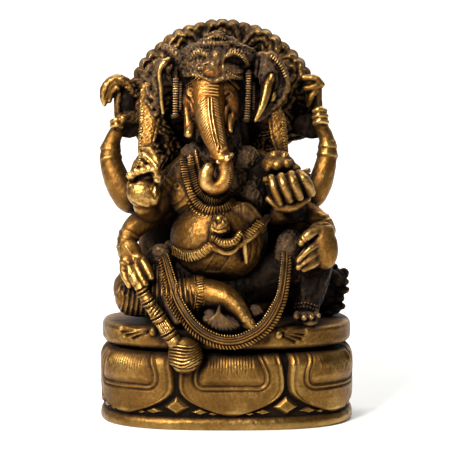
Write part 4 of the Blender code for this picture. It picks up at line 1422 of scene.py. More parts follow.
@dataclass
class Head:
    """The elephant head: face, trunk, tusks, ears, headdress and the strands that hang beside it."""

    def face(self) -> Shape:
        """The head itself, with cheeks, brows and eyes."""
        shapes = [
            drawn_ball(-5.0, 123.0, 3.3, (12.4, 11.6, 14.5), sides=48),
            drawn_ball(-5.2, 130.5, 0.0, (10.5, 9.2, 8.0)),
            drawn_ball(-13.0, 120.0, -3.4, (4.4, 5.0, 6.8), (0, 12, 0)),
            drawn_ball(1.6, 118.6, -3.2, (3.8, 4.6, 6.2), (0, -10, 0)),
            drawn_tube([(-13.2, 122.5, -7.0, 1.6), (-11.6, 116.5, -8.6, 1.7), (-10.5, 110.4, -9.0, 1.1)]),
            drawn_tube([(-14.8, 117.0, -7.0, 1.2), (-14.2, 112.6, -8.4, 1.6), (-13.8, 108.6, -9.4, 2.0)]),
            drawn_tube([(0.0, 117.4, -8.2, 1.0), (-0.7, 113.2, -9.4, 1.0), (-0.2, 110.0, -9.6, 0.9)]),
            drawn_tube([(2.4, 114.8, -7.6, 0.9), (1.9, 112.4, -8.4, 1.0), (1.3, 110.6, -8.6, 0.8)]),
        ]
        strokes = [
            Stroke([(-14.6, 123.6), (-13.2, 124.5), (-11.8, 123.4)], 0.55, 0.5),
            Stroke([(-14.6, 122.6), (-13.3, 121.6), (-12.0, 122.0)], 0.4, 0.45),
            Stroke([(-14.2, 121.0), (-12.6, 118.0), (-12.2, 114.0)], -0.5, 0.5),
            Stroke([(-0.4, 122.6), (1.0, 123.4), (2.4, 122.0)], 0.5, 0.45),
            Stroke([(-0.2, 120.4), (0.8, 121.4), (1.6, 122.4)], 0.4, 0.35),
            Stroke([(1.0, 127.2), (3.0, 125.6), (5.2, 122.6)], -0.5, 0.5),
        ]
        return carved(shapes, strokes, 0.53, 0.10, 71, finer=True)

    def trunk(self) -> Shape:
        """The trunk, hanging and curled to its own left at the end."""
        rows = [
            (-6.6, 126.4, -1.6, 7.6), (-6.8, 120.6, -5.6, 6.5), (-6.4, 115.0, -9.0, 5.6),
            (-5.6, 110.2, -11.2, 4.9),
            (-4.4, 105.8, -13.0, 4.1), (-2.7, 101.4, -14.4, 3.4), (-1.0, 97.0, -15.2, 3.1),
            (-0.3, 92.6, -15.6, 3.0),
            (-1.6, 89.2, -15.9, 3.0), (-4.6, 87.8, -16.2, 2.9), (-7.2, 89.4, -16.4, 2.9),
            (-7.6, 92.2, -16.6, 2.8),
            (-6.8, 94.6, -16.8, 2.3),
        ]
        return carved([
            drawn_tube(rows, sides=32, step=0.4),
            drawn_tube([(-5.0, 99.6, -14.6, 1.2), (-2.6, 98.4, -17.0, 1.2), (0.6, 98.6, -17.6, 1.1),
                        (1.8, 99.8, -15.4, 1.0)]),
            drawn_ball(0.2, 98.6, -18.4, (1.25, 1.0, 1.25), sides=20),
            drawn_ball(-3.2, 97.2, -18.2, (0.9, 0.8, 0.9), sides=20),
        ], [
            Stroke([(-6.8, 121.0), (-6.5, 115.0), (-5.2, 108.0), (-3.9, 103.0)], 0.5, 0.32),
            Stroke([(-5.6, 121.0), (-5.3, 115.0), (-4.1, 108.0), (-2.9, 103.0)], 0.5, 0.32),
            Stroke([(-6.2, 121.0), (-5.9, 115.0), (-4.65, 108.0), (-3.4, 103.0)], -0.4, 0.22),
            Stroke([(-3.4, 102.0), (-1.8, 101.4), (-0.2, 102.2)], 0.4, 0.4),
            Stroke([(-3.0, 100.6), (-2.4, 103.0), (-3.4, 104.0)], -0.5, 0.3),
            Stroke([(0.8, 95.0), (1.8, 92.0), (1.0, 88.6)], -0.3, 0.5, pitch=0.9),
        ], 0.44, 0.06, 75, finer=True)

    def ear(self, left: bool) -> Shape:
        """One ear: on the viewer's left it is seen edge-on, on the right it is a broad mottled flap."""
        if left:
            return carved([
                drawn_tube([(16.0, 135.0, -1.0, 3.6), (17.2, 130.0, -1.6, 5.6), (17.6, 124.6, -2.2, 5.4),
                            (15.4, 118.6, -3.2, 3.6), (12.0, 113.4, -4.4, 1.4)], flatness=0.2,
                           thin=(-0.2, 0.97, 0.0)),
                drawn_tube([(12.2, 137.0, 0.0, 1.0), (16.4, 137.0, -1.2, 1.1), (20.0, 133.6, -1.8, 1.2),
                            (22.2, 129.0, -2.2, 1.2), (22.6, 125.0, -2.2, 1.1), (20.4, 120.4, -2.6, 1.0),
                            (17.4, 117.0, -3.2, 0.9)]),
            ], [
                Stroke([(20.4, 130.6), (19.6, 125.4), (17.8, 121.6)], -0.5, 0.7),
                Stroke([(13.6, 134.6), (12.6, 130.0), (12.4, 125.0)], -0.5, 0.7),
                Curls((12.0, 116.0), (24.0, 138.0), 2.4, 1.5, 0.13, 8),
            ], 0.38, 0.3, 81)
        return carved([
            drawn_tube([(-24.6, 134.0, 1.0, 2.4), (-27.4, 129.6, 1.6, 4.8), (-28.0, 124.6, 1.4, 5.0),
                        (-27.0, 119.4, 0.2, 3.8), (-24.8, 115.4, -1.6, 1.8)], flatness=0.22,
                       thin=(0.62, 0.78, 0.0)),
            drawn_tube([(-23.2, 134.4, -3.0, 1.6), (-25.6, 130.0, -3.0, 1.8), (-25.6, 124.0, -3.2, 1.8),
                        (-25.0, 118.0, -3.4, 1.5)]),
            drawn_tube([(-29.4, 124.0, -1.8, 1.1), (-27.4, 121.4, -3.4, 1.2), (-25.6, 123.2, -4.2, 0.9)]),
            drawn_tube([(-29.6, 120.0, -1.8, 1.0), (-27.6, 117.6, -3.2, 1.1), (-26.2, 119.6, -4.0, 0.9)]),
            drawn_tube([(-28.4, 116.2, -1.6, 0.9), (-26.6, 114.8, -3.0, 1.0), (-25.2, 116.2, -3.6, 0.8)]),
        ], [
            Stroke([(-28.8, 134.0), (-28.0, 131.6), (-29.2, 129.0)], -1.0, 0.9),
            Stroke([(-30.6, 128.6), (-28.6, 126.8), (-27.2, 128.2)], 0.45, 0.5),
            Stroke([(-27.4, 132.4), (-26.4, 129.0), (-26.6, 126.0)], -0.4, 0.5),
            Curls((-33.0, 114.0), (-22.0, 138.0), 2.8, 1.4, 0.22, 9),
        ], 0.38, 0.28, 83)

    def ear_edges(self) -> Shape:
        """The rubbed edge of the right ear and the bright fold of the left one."""
        return carved([
            drawn_tube([(-21.6, 135.2, -4.0, 1.0), (-23.2, 133.8, -5.2, 1.3), (-24.9, 130.8, -5.7, 1.0),
                        (-24.4, 125.0, -6.0, 0.85), (-24.1, 119.6, -6.0, 0.8), (-23.6, 115.4, -5.6, 0.7)]),
            drawn_tube([(16.6, 128.6, -3.4, 1.3), (15.4, 125.6, -5.0, 1.7), (14.4, 121.4, -6.2, 1.6),
                        (12.9, 117.0, -7.2, 1.25),
                        (10.7, 112.4, -7.8, 0.55)], flatness=0.8),
            drawn_ball(16.7, 128.2, -4.2, (1.2, 1.2, 2.0)),
            drawn_ball(17.4, 121.4, -4.2, (1.0, 1.0, 2.2), (0, 20, 0)),
        ], [
            Stroke([(13.8, 126.0), (13.0, 122.4), (12.4, 118.4)], -0.35, 0.3),
        ], 0.34, 0.07, 85)

    def crown(self) -> Shape:
        """The low headdress and the chased forehead under it."""
        return carved([
            drawn_ball(-4.8, 132.6, 0.0, (12.6, 9.4, 7.4), sides=44),
            drawn_ball(-3.4, 136.2, 3.6, (14.6, 11.0, 6.6), sides=44),
            drawn_ball(-3.0, 140.4, 3.0, (8.2, 8.0, 4.0)),
            drawn_tube([(-15.0, 138.0, 2.0, 1.0), (-10.0, 140.6, -3.0, 1.1), (-3.4, 141.0, -5.4, 1.1),
                        (3.4, 140.8, -4.2, 1.1),
                        (9.6, 138.4, 1.0, 0.9)]),
            drawn_tube([(-7.6, 142.4, -2.6, 0.7), (-4.0, 143.8, -3.6, 0.8), (-0.4, 142.8, -3.0, 0.7)]),
            drawn_tube([(-7.0, 144.2, -1.6, 0.6), (-4.0, 145.3, -2.2, 0.7), (-1.0, 144.5, -1.8, 0.6)]),
            drawn_tube([(-22.5, 139.4, 4.0, 1.8), (-19.4, 137.4, 1.0, 2.2), (-16.6, 133.4, -1.0, 2.0),
                        (-15.6, 129.6, -2.4, 1.2)]),
            drawn_tube([(9.4, 138.0, 3.4, 1.4), (11.2, 134.6, 1.6, 1.6), (11.0, 129.6, 0.4, 1.3)]),
            drawn_ball(-20.0, 136.4, 3.6, (3.6, 3.0, 3.2)),
            drawn_tube([(-15.6, 129.8, -3.6, 1.2), (-10.4, 129.2, -7.6, 1.5), (-5.0, 127.0, -9.0, 1.2),
                        (0.6, 129.0, -7.8, 1.3),
                        (5.6, 128.6, -4.4, 1.0)]),
            drawn_ball(-3.9, 136.6, -7.0, (1.9, 1.7, 2.1)),
            drawn_ball(-4.8, 132.0, -8.2, (1.7, 1.1, 2.4)),
            drawn_tube([(-13.2, 136.2, -5.6, 1.0), (-10.2, 138.0, -7.0, 1.5), (-7.0, 136.6, -8.0, 1.0)]),
            drawn_tube([(0.0, 136.4, -7.6, 0.9), (2.4, 138.0, -7.4, 1.4), (5.6, 136.6, -5.8, 1.1),
                        (8.0, 133.2, -3.6, 0.7)]),
            drawn_tube([(1.4, 131.4, -7.6, 0.7), (3.6, 130.6, -6.8, 0.9), (6.0, 130.8, -5.0, 0.6)]),
        ], [
            Curls((-28.0, 126.6), (-5.6, 141.0), 2.9, 1.3, 0.15, 5),
            Curls((3.0, 136.4), (14.0, 142.0), 2.8, 1.1, 0.18, 6),
            Curls((-14.0, 140.6), (8.0, 147.0), 2.6, 1.05, 0.16, 7),
            Stroke([(-12.6, 139.0), (-8.0, 139.8), (-4.0, 139.6)], 0.35, 0.5, pitch=1.3),
            Stroke([(0.6, 139.4), (4.0, 139.0), (7.6, 137.4)], 0.35, 0.5, pitch=1.3),
            Stroke([(0.4, 142.2), (2.0, 141.8), (2.6, 140.8)], -1.6, 1.3),
            Stroke([(0.2, 134.4), (3.2, 134.2), (6.6, 132.8)], -1.7, 1.1),
            Stroke([(-1.6, 134.6), (-2.4, 132.4), (-2.2, 130.6)], -0.7, 0.6),
            Stroke([(-7.2, 133.4), (-7.6, 131.2), (-7.0, 129.2)], -0.5, 0.4),
            Stroke([(-13.6, 128.4), (-9.0, 127.6), (-5.0, 125.6), (-1.0, 127.2)], -0.4, 0.35),
        ], 0.60, 0.26, 87, finer=True)

    def strands(self) -> Shape:
        """The cords that hang beside the face, on which barred beads are set."""
        return carved([
            drawn_tube([(-18.6, 128.6, -3.6, 1.0), (-18.9, 122.0, -5.6, 1.0), (-19.0, 116.0, -6.8, 1.0)]),
            drawn_tube([(-16.9, 126.6, -4.2, 0.8), (-17.0, 121.0, -5.8, 0.8), (-17.2, 116.4, -6.6, 0.8)]),
            drawn_ball(-19.0, 114.4, -7.2, (1.9, 1.2, 1.2)),
            drawn_tube([(8.2, 130.6, -3.4, 1.0), (8.1, 122.0, -5.4, 1.0), (7.6, 113.6, -6.8, 1.0)]),
            drawn_tube([(9.9, 126.0, -3.0, 0.8), (10.1, 121.0, -4.4, 0.8), (10.0, 116.6, -5.2, 0.7)]),
            drawn_ball(7.2, 112.8, -7.0, (1.4, 1.1, 1.1)),
        ], (), 0.34, 0.06, 91)

    def tusks(self) -> Shape:
        """The broken right tusk and the short left one."""
        return carved([
            drawn_tube([(-12.6, 112.0, -7.4, 1.3), (-13.4, 109.6, -10.0, 1.7), (-14.0, 107.8, -11.4, 1.8)]),
            drawn_tube([(1.0, 114.0, -7.6, 1.3), (1.3, 111.4, -10.0, 1.2), (1.5, 108.8, -11.8, 0.8)]),
        ], (), 0.34, 0.05, 93)

    def build(self) -> list[Piece]:
        """The head's pieces."""
        face, trunk, crown, strands = self.face(), self.trunk(), self.crown(), self.strands()
        front = Surface([face, trunk, crown])
        cords = Surface([strands])
        ridges = [
            Row([front.lay([(-9.2, z), (-6.2, z + 0.28), (-3.2, z)])], 0.36, (0.30, 0.40, 0.34))
            for z in (125.4, 124.2, 123.0, 121.9)
        ]
        left_side = front.lay([(-8.7, 120.4), (-8.6, 115.0), (-7.4, 109.0), (-5.6, 104.0)])
        right_side = front.lay([(-4.1, 120.4), (-3.3, 115.0), (-2.2, 109.0), (-1.6, 104.4)])
        scales = [
            Row([left_side], 1.05, (0.34, 1.75, 0.36), slant=32.0),
            Row([right_side], 1.05, (0.34, 1.35, 0.34), slant=-32.0),
        ]
        brow = [
            Row([front.lay([(-12.8, 137.2), (-10.2, 138.2), (-7.4, 137.0)], 0.0)], 0.9, (0.26, 1.05, 0.36),
                Bead.LEAF, 22.0),
            Row([front.lay([(0.4, 137.4), (3.0, 138.0), (6.2, 136.2), (8.4, 132.6)], 0.0)], 0.9,
                (0.24, 0.95, 0.34), Bead.LEAF, -18.0),
            Row([
                front.lay([(-14.9, 125.6), (-12.4, 127.2), (-9.6, 130.4)]),
                front.lay([(-14.0, 125.0), (-11.6, 126.6), (-9.0, 129.6)]),
                front.lay([(0.2, 129.4), (1.8, 127.0), (4.6, 124.6)]),
                front.lay([(-0.2, 131.4), (2.2, 129.6), (4.8, 128.6)]),
            ], 0.95, (0.42, 0.42, 0.4)),
            Row([front.lay([(-7.6, 142.6), (-4.0, 143.6), (-0.6, 142.8)], 0.0)], 1.0, (0.34, 0.6, 0.4)),
        ]
        bars = [
            Row([cords.lay([(-18.8, 128.0), (-19.0, 121.0), (-19.1, 115.2)], -0.1)], 0.92,
                (0.27, 1.05, 0.42), Bead.BAR),
            Row([cords.lay([(8.2, 130.0), (8.1, 121.0), (7.6, 113.4)], -0.1)], 0.92, (0.27, 1.0, 0.42),
                Bead.BAR),
            Row([cords.lay([(10.0, 125.0), (10.1, 120.0), (10.0, 117.0)], -0.1)], 0.8, (0.25, 0.55, 0.35),
                Bead.BAR),
            Row([cords.lay([(-17.0, 126.0), (-17.1, 121.0), (-17.2, 117.0)], -0.1)], 0.8, (0.25, 0.5, 0.3),
                Bead.BAR),
        ]
        left_ear = self.ear(left=True)
        fringe = Surface([left_ear])
        serration = Row([fringe.lay([(16.8, 136.6), (20.0, 133.4), (22.0, 129.2)], 0.2)], 1.0,
                        (0.36, 1.0, 0.5), Bead.LEAF, 12.0)
        return [
            Piece("face", face, Finish.RUSTY, ("head",)),
            Piece("trunk_skin", trunk, Finish.WARM, ("trunk",)),
            ROWS.piece("trunk_scales", ridges + scales, Finish.WARM),
            ROWS.piece("brow_ornament", brow, Finish.AGED),
            Piece("headdress", crown, Finish.DUSTY, ("crown",)),
            Piece("side_cords", strands, Finish.SOOT_AND_SHADE),
            ROWS.piece("side_cord_bars", bars, Finish.DUSTY),
            Piece("tusk_pair", self.tusks(), Finish.GOLD, ("tusk_right", "tusk_left")),
            Piece("ear_of_right", self.ear(left=False), Finish.DUSTY, ("ear_right",)),
            Piece("ear_of_left", left_ear, Finish.DUSTY, ("ear_left",)),
            Piece("ear_edges", self.ear_edges(), Finish.GOLD),
            ROWS.piece("ear_serration", [serration], Finish.GOLD),
        ]


# ---------------------------------------------------------------------------------------------------
# The body
# ---------------------------------------------------------------------------------------------------


@dataclass
class Body:
    """The torso, its necklaces and thread, the snake belt and the shawls."""

    def torso(self) -> Shape:
        """The belly and breasts."""
        strokes = [Stroke([(-19.7, 88.0), (-18.5, 89.2), (-17.3, 88.0), (-18.5, 86.8), (-19.7, 88.0)], 0.35,
                          0.35)]
        strokes += [
            Stroke([(x - 2.2, 56.2), (x + 0.2, 59.6), (x + 2.6, 63.6)], -0.55, 0.3)
            for x in (-5.6, -4.6, -3.6, -2.6, -1.6, -0.6)
        ]
        strokes += [
            Stroke([(-20.4, 80.4), (-17.6, 82.0), (-14.6, 84.8)], -0.35, 0.35),
            Stroke([(-21.6, 77.2), (-18.6, 79.6), (-15.0, 81.8)], 0.35, 0.5),
            Stroke([(7.6, 81.0), (10.6, 79.0), (13.0, 75.6)], -0.4, 0.5),
            Stroke([(6.8, 78.0), (9.8, 76.4), (12.4, 72.4)], -0.3, 0.4),
            Stroke([(11.0, 70.0), (12.0, 66.0), (11.2, 61.0)], -0.3, 0.5),
            Stroke([(8.6, 69.0), (9.4, 65.0), (8.8, 60.0)], -0.3, 0.45),
        ]
        return carved([
            lump((-2.8, -4.0, 30.4), (18.4, 16.6, 17.0), sides=56),
            lump((-1.0, 1.0, 8.0), (20.0, 10.0, 12.0), sides=44),
            lump((-14.0, -3.6, 47.4), (8.4, 8.6, 8.0)),
        ], strokes, 0.65, 0.09, 101, finer=True)

    def belly_cloth(self) -> Shape:
        """The dusty fold of the shawl on the left of the belly."""
        pleats = [Stroke([(2.6 + d, 81.8), (3.0 + d, 76.4), (4.2 + d, 71.0)], -0.5, 0.28)
                  for d in (0.0, 0.95, 1.9, 2.85)]
        pleats.append(Stroke([(0.4, 79.0), (7.6, 81.6), (13.4, 75.8)], 0.4, 0.4))
        return carved([
            drawn_ball(6.4, 76.6, -8.8, (7.6, 3.4, 5.2), (0, 26, 0), sides=40),
            drawn_ball(10.4, 73.6, -7.4, (5.0, 3.6, 3.8), (0, 20, 0)),
        ], pleats, 0.36, 0.14, 109)

    def chest(self) -> Shape:
        """Chest, shoulders and neck, textured with rows of small curls."""
        curls = [Curls((-26.0, 84.0), (22.0, 112.0), 2.2, 1.3, 0.15, 11)]
        return carved([
            lump((-1.5, -0.6, 51.0), (17.4, 9.6, 13.6), sides=48),
            lump((-15.0, -1.6, 52.0), (7.4, 6.8, 8.6)),
            lump((11.5, -1.6, 52.0), (7.4, 6.8, 8.6)),
            # The breast on the figure's left belongs to the dusty chest, not the gold torso, so that it is
            # darker: painted shade for the shadow on that side.
            lump((8.6, -3.2, 47.0), (8.0, 8.0, 7.6)),
            limb([(-2.0, -0.5, 58.0, 9.0), (-3.5, -0.5, 74.0, 8.0)], sides=36),
            lump((-6.0, -5.2, 62.0), (11.0, 6.0, 5.0), (0, 8, 0)),
            lump((6.0, -4.4, 60.0), (7.0, 5.4, 5.4), (0, -20, 0)),
        ], curls, 0.68, 0.34, 103, finer=True)

    def necklaces(self, front: Surface) -> list[Piece]:
        """The two strings of bars, their backing and their pendants."""
        inner = [(-13.4, 99.0), (-12.4, 92.0), (-10.4, 86.0), (-7.0, 82.9), (-3.2, 82.2), (0.2, 83.6),
                 (2.0, 86.0)]
        outer = [(-16.2, 98.0), (-15.0, 91.0), (-12.9, 84.6), (-9.2, 80.2), (-4.4, 78.9), (0.2, 80.2),
                 (2.6, 82.6)]
        upper = [(-11.4, 101.0), (-10.4, 96.0), (-9.6, 91.6), (-8.8, 87.0)]
        backing = []
        for path, radius in ((inner, 1.25), (outer, 1.25), (upper, 1.0)):
            points, _ = front.lay(path, 0.0, 0.8)
            backing.append(tube([[*p, radius] for p in points[::2]], sides=14, step=0.4))
        strings = fused(backing, 0.34)
        top = Surface([strings])
        rows = [
            Row([top.lay(inner, 0.1)], 0.92, (0.28, 1.25, 0.5), Bead.BAR, 8.0),
            Row([top.lay(outer, 0.1)], 1.02, (0.30, 1.35, 0.5), Bead.BAR, -8.0),
            Row([top.lay(upper, 0.1)], 0.95, (0.4, 0.5, 0.45)),
        ]
        drops = Row([front.lay([(-14.4, 83.0), (-11.6, 78.6), (-6.4, 76.9), (-1.2, 77.9)], 0.1)], 1.5,
                    (0.5, 0.9, 0.5), Bead.LEAF)
        return [
            Piece("necklace_cords", strings, Finish.AGED, ("necklace",)),
            ROWS.piece("necklace_bars", rows, Finish.AGED),
            ROWS.piece("necklace_drops", [drops], Finish.GOLD),
        ]

    def snake(self) -> list[Piece]:
        """The snake tied round the belly, its head raised in front."""
        body = [
            (-21.4, -4.0, 28.4, 1.8), (-17.0, -12.8, 26.4, 2.1), (-13.0, -17.2, 25.8, 2.2),
            (-9.0, -19.4, 27.0, 2.2),
            (-5.4, -20.6, 29.4, 2.0), (-1.4, -20.6, 28.4, 1.9), (2.6, -20.4, 29.4, 1.8),
            (6.0, -19.4, 31.4, 1.9),
            (9.6, -17.4, 34.0, 2.0), (12.6, -14.0, 37.0, 1.9), (15.0, -9.6, 39.0, 1.4),
        ]
        head = [
            limb([(-4.9, -20.0, 30.0, 1.6), (-4.6, -20.9, 33.0, 1.8), (-2.8, -21.4, 35.6, 2.3),
                  (-1.6, -21.4, 38.0, 2.8),
                  (-2.6, -21.6, 39.6, 1.8)], step=0.3),
            limb([(-3.6, -20.8, 31.0, 1.1), (-2.4, -21.6, 28.2, 1.2), (1.0, -21.8, 27.4, 1.2),
                  (3.6, -21.4, 29.4, 1.1),
                  (3.6, -21.0, 33.0, 1.1), (5.6, -20.4, 33.6, 1.1), (6.6, -20.0, 29.0, 1.1),
                  (7.2, -18.8, 23.4, 0.7)], step=0.3),
            drawn_ball(-2.5, 72.4, -17.8, (3.9, 2.8, 3.4)),
            drawn_ball(-4.3, 74.0, -20.0, (0.85, 0.7, 0.85), sides=16),
            drawn_ball(-1.4, 74.8, -20.2, (0.85, 0.7, 0.85), sides=16),
            drawn_tube([(-4.6, 68.6, -19.0, 1.3), (-1.0, 66.6, -20.0, 1.7), (3.0, 67.4, -20.0, 1.5),
                        (5.0, 70.4, -18.8, 1.1)]),
        ]
        strokes = [
            Stroke([(-5.4, 72.4), (-3.0, 71.4), (0.2, 72.6)], -0.6, 0.32),
            Stroke([(-4.6, 70.6), (-2.6, 69.6), (-0.6, 70.2)], -0.5, 0.3),
            Stroke([(-5.2, 73.4), (-4.3, 75.2), (-3.2, 73.8)], -0.4, 0.26),
            Stroke([(-2.4, 74.2), (-1.4, 76.0), (-0.4, 74.6)], -0.4, 0.26),
            Stroke([(-4.6, 68.6), (-1.0, 66.6), (3.0, 67.4), (4.8, 69.8)], 0.3, 1.2, pitch=1.1),
            Stroke([(0.8, 73.6), (0.6, 71.0), (-0.6, 69.2)], -0.35, 0.35),
        ]
        belt = carved([limb(body, step=0.3)], (), 0.34, 0.05, 111)
        top = Surface([belt])
        bands = Row([top.lay([(-20.0, 63.8), (-15.0, 61.4), (-10.0, 62.4), (-5.4, 66.2), (-1.0, 66.6),
                              (4.0, 67.4), (8.6, 70.6),
                              (12.6, 74.4)])], 1.15, (0.22, 1.55, 0.28), Bead.BAR, 6.0)
        return [
            Piece("belt_body", belt, Finish.GOLD, ("snake_belt",)),
            ROWS.piece("belt_bands", [bands], Finish.GOLD),
            Piece("belt_head", carved(head, strokes, 0.31, 0.05, 113), Finish.GOLD, ("snake_head",)),
        ]

    def shawls(self) -> list[Piece]:
        """The cloth ends that fall from the shoulders on both sides."""
        right = carved([
            drawn_tube([(-29.0, 124.0, 0.4, 3.2), (-28.6, 116.0, -1.0, 4.2), (-29.0, 109.0, -3.0, 3.8),
                        (-30.4, 102.0, -5.4, 2.8),
                        (-30.2, 95.6, -7.4, 1.8)], flatness=0.42, thin=(0.1, 0.95, 0.2)),
        ], [
            Stroke([(-25.6, 118.0), (-26.0, 112.0), (-27.6, 105.0)], -0.35, 0.35),
            Curls((-33.0, 94.0), (-24.0, 128.0), 2.0, 1.2, 0.12, 25),
        ], 0.36, 0.2, 121)
        left = carved([
            drawn_tube([(17.4, 117.6, -1.8, 2.4), (18.7, 113.0, -2.4, 3.4), (19.6, 107.0, -4.0, 3.2),
                        (21.0, 100.0, -5.6, 2.2),
                        (22.2, 95.4, -6.6, 1.3)], flatness=0.42, thin=(-0.1, 0.95, 0.2)),
        ], [
            Stroke([(16.4, 113.0), (17.2, 107.0), (19.6, 100.0)], -0.35, 0.35),
            Curls((14.0, 95.0), (24.0, 119.0), 2.0, 1.2, 0.12, 27),
        ], 0.36, 0.2, 123)
        a, b = Surface([right]), Surface([left])
        hems = [
            Row([a.lay([(-31.6, 117.0), (-31.9, 111.0), (-32.4, 104.0), (-31.4, 98.0)], -0.1)], 1.05,
                (0.34, 0.75, 0.4), Bead.BAR),
            Row([b.lay([(21.2, 113.0), (21.6, 107.0), (22.6, 101.0)], -0.1)], 1.0, (0.32, 0.75, 0.4),
                Bead.BAR),
        ]
        return [
            Piece("shawl_of_right", right, Finish.GOLD, ("shawl_right",)),
            Piece("shawl_of_left", left, Finish.GOLD, ("shawl_left",)),
            ROWS.piece("shawl_hems", hems, Finish.GOLD),
        ]

    def build(self) -> list[Piece]:
        """The body's pieces."""
        torso, chest = self.torso(), self.chest()
        return [
            Piece("torso_skin", torso, Finish.GOLD, ("torso",)),
            # The chest's dusty finish is its chased texture, and on the figure's left it is also painted
            # shade.
            Piece("chest_skin", chest, Finish.DUSTY),
            Piece("belly_cloth", self.belly_cloth(), Finish.AGED),
            *self.necklaces(Surface([torso, chest])), *self.snake(), *self.shawls(),
        ]


# ---------------------------------------------------------------------------------------------------
# Arms and what the hands hold
# ---------------------------------------------------------------------------------------------------


def digits(rows: Sequence[Sequence[Sequence[float]]]) -> list[Shape]:
    """Fingers, each from drawn rows of x, z, depth and radius."""
    return [drawn_tube(row, sides=14, step=0.3) for row in rows]


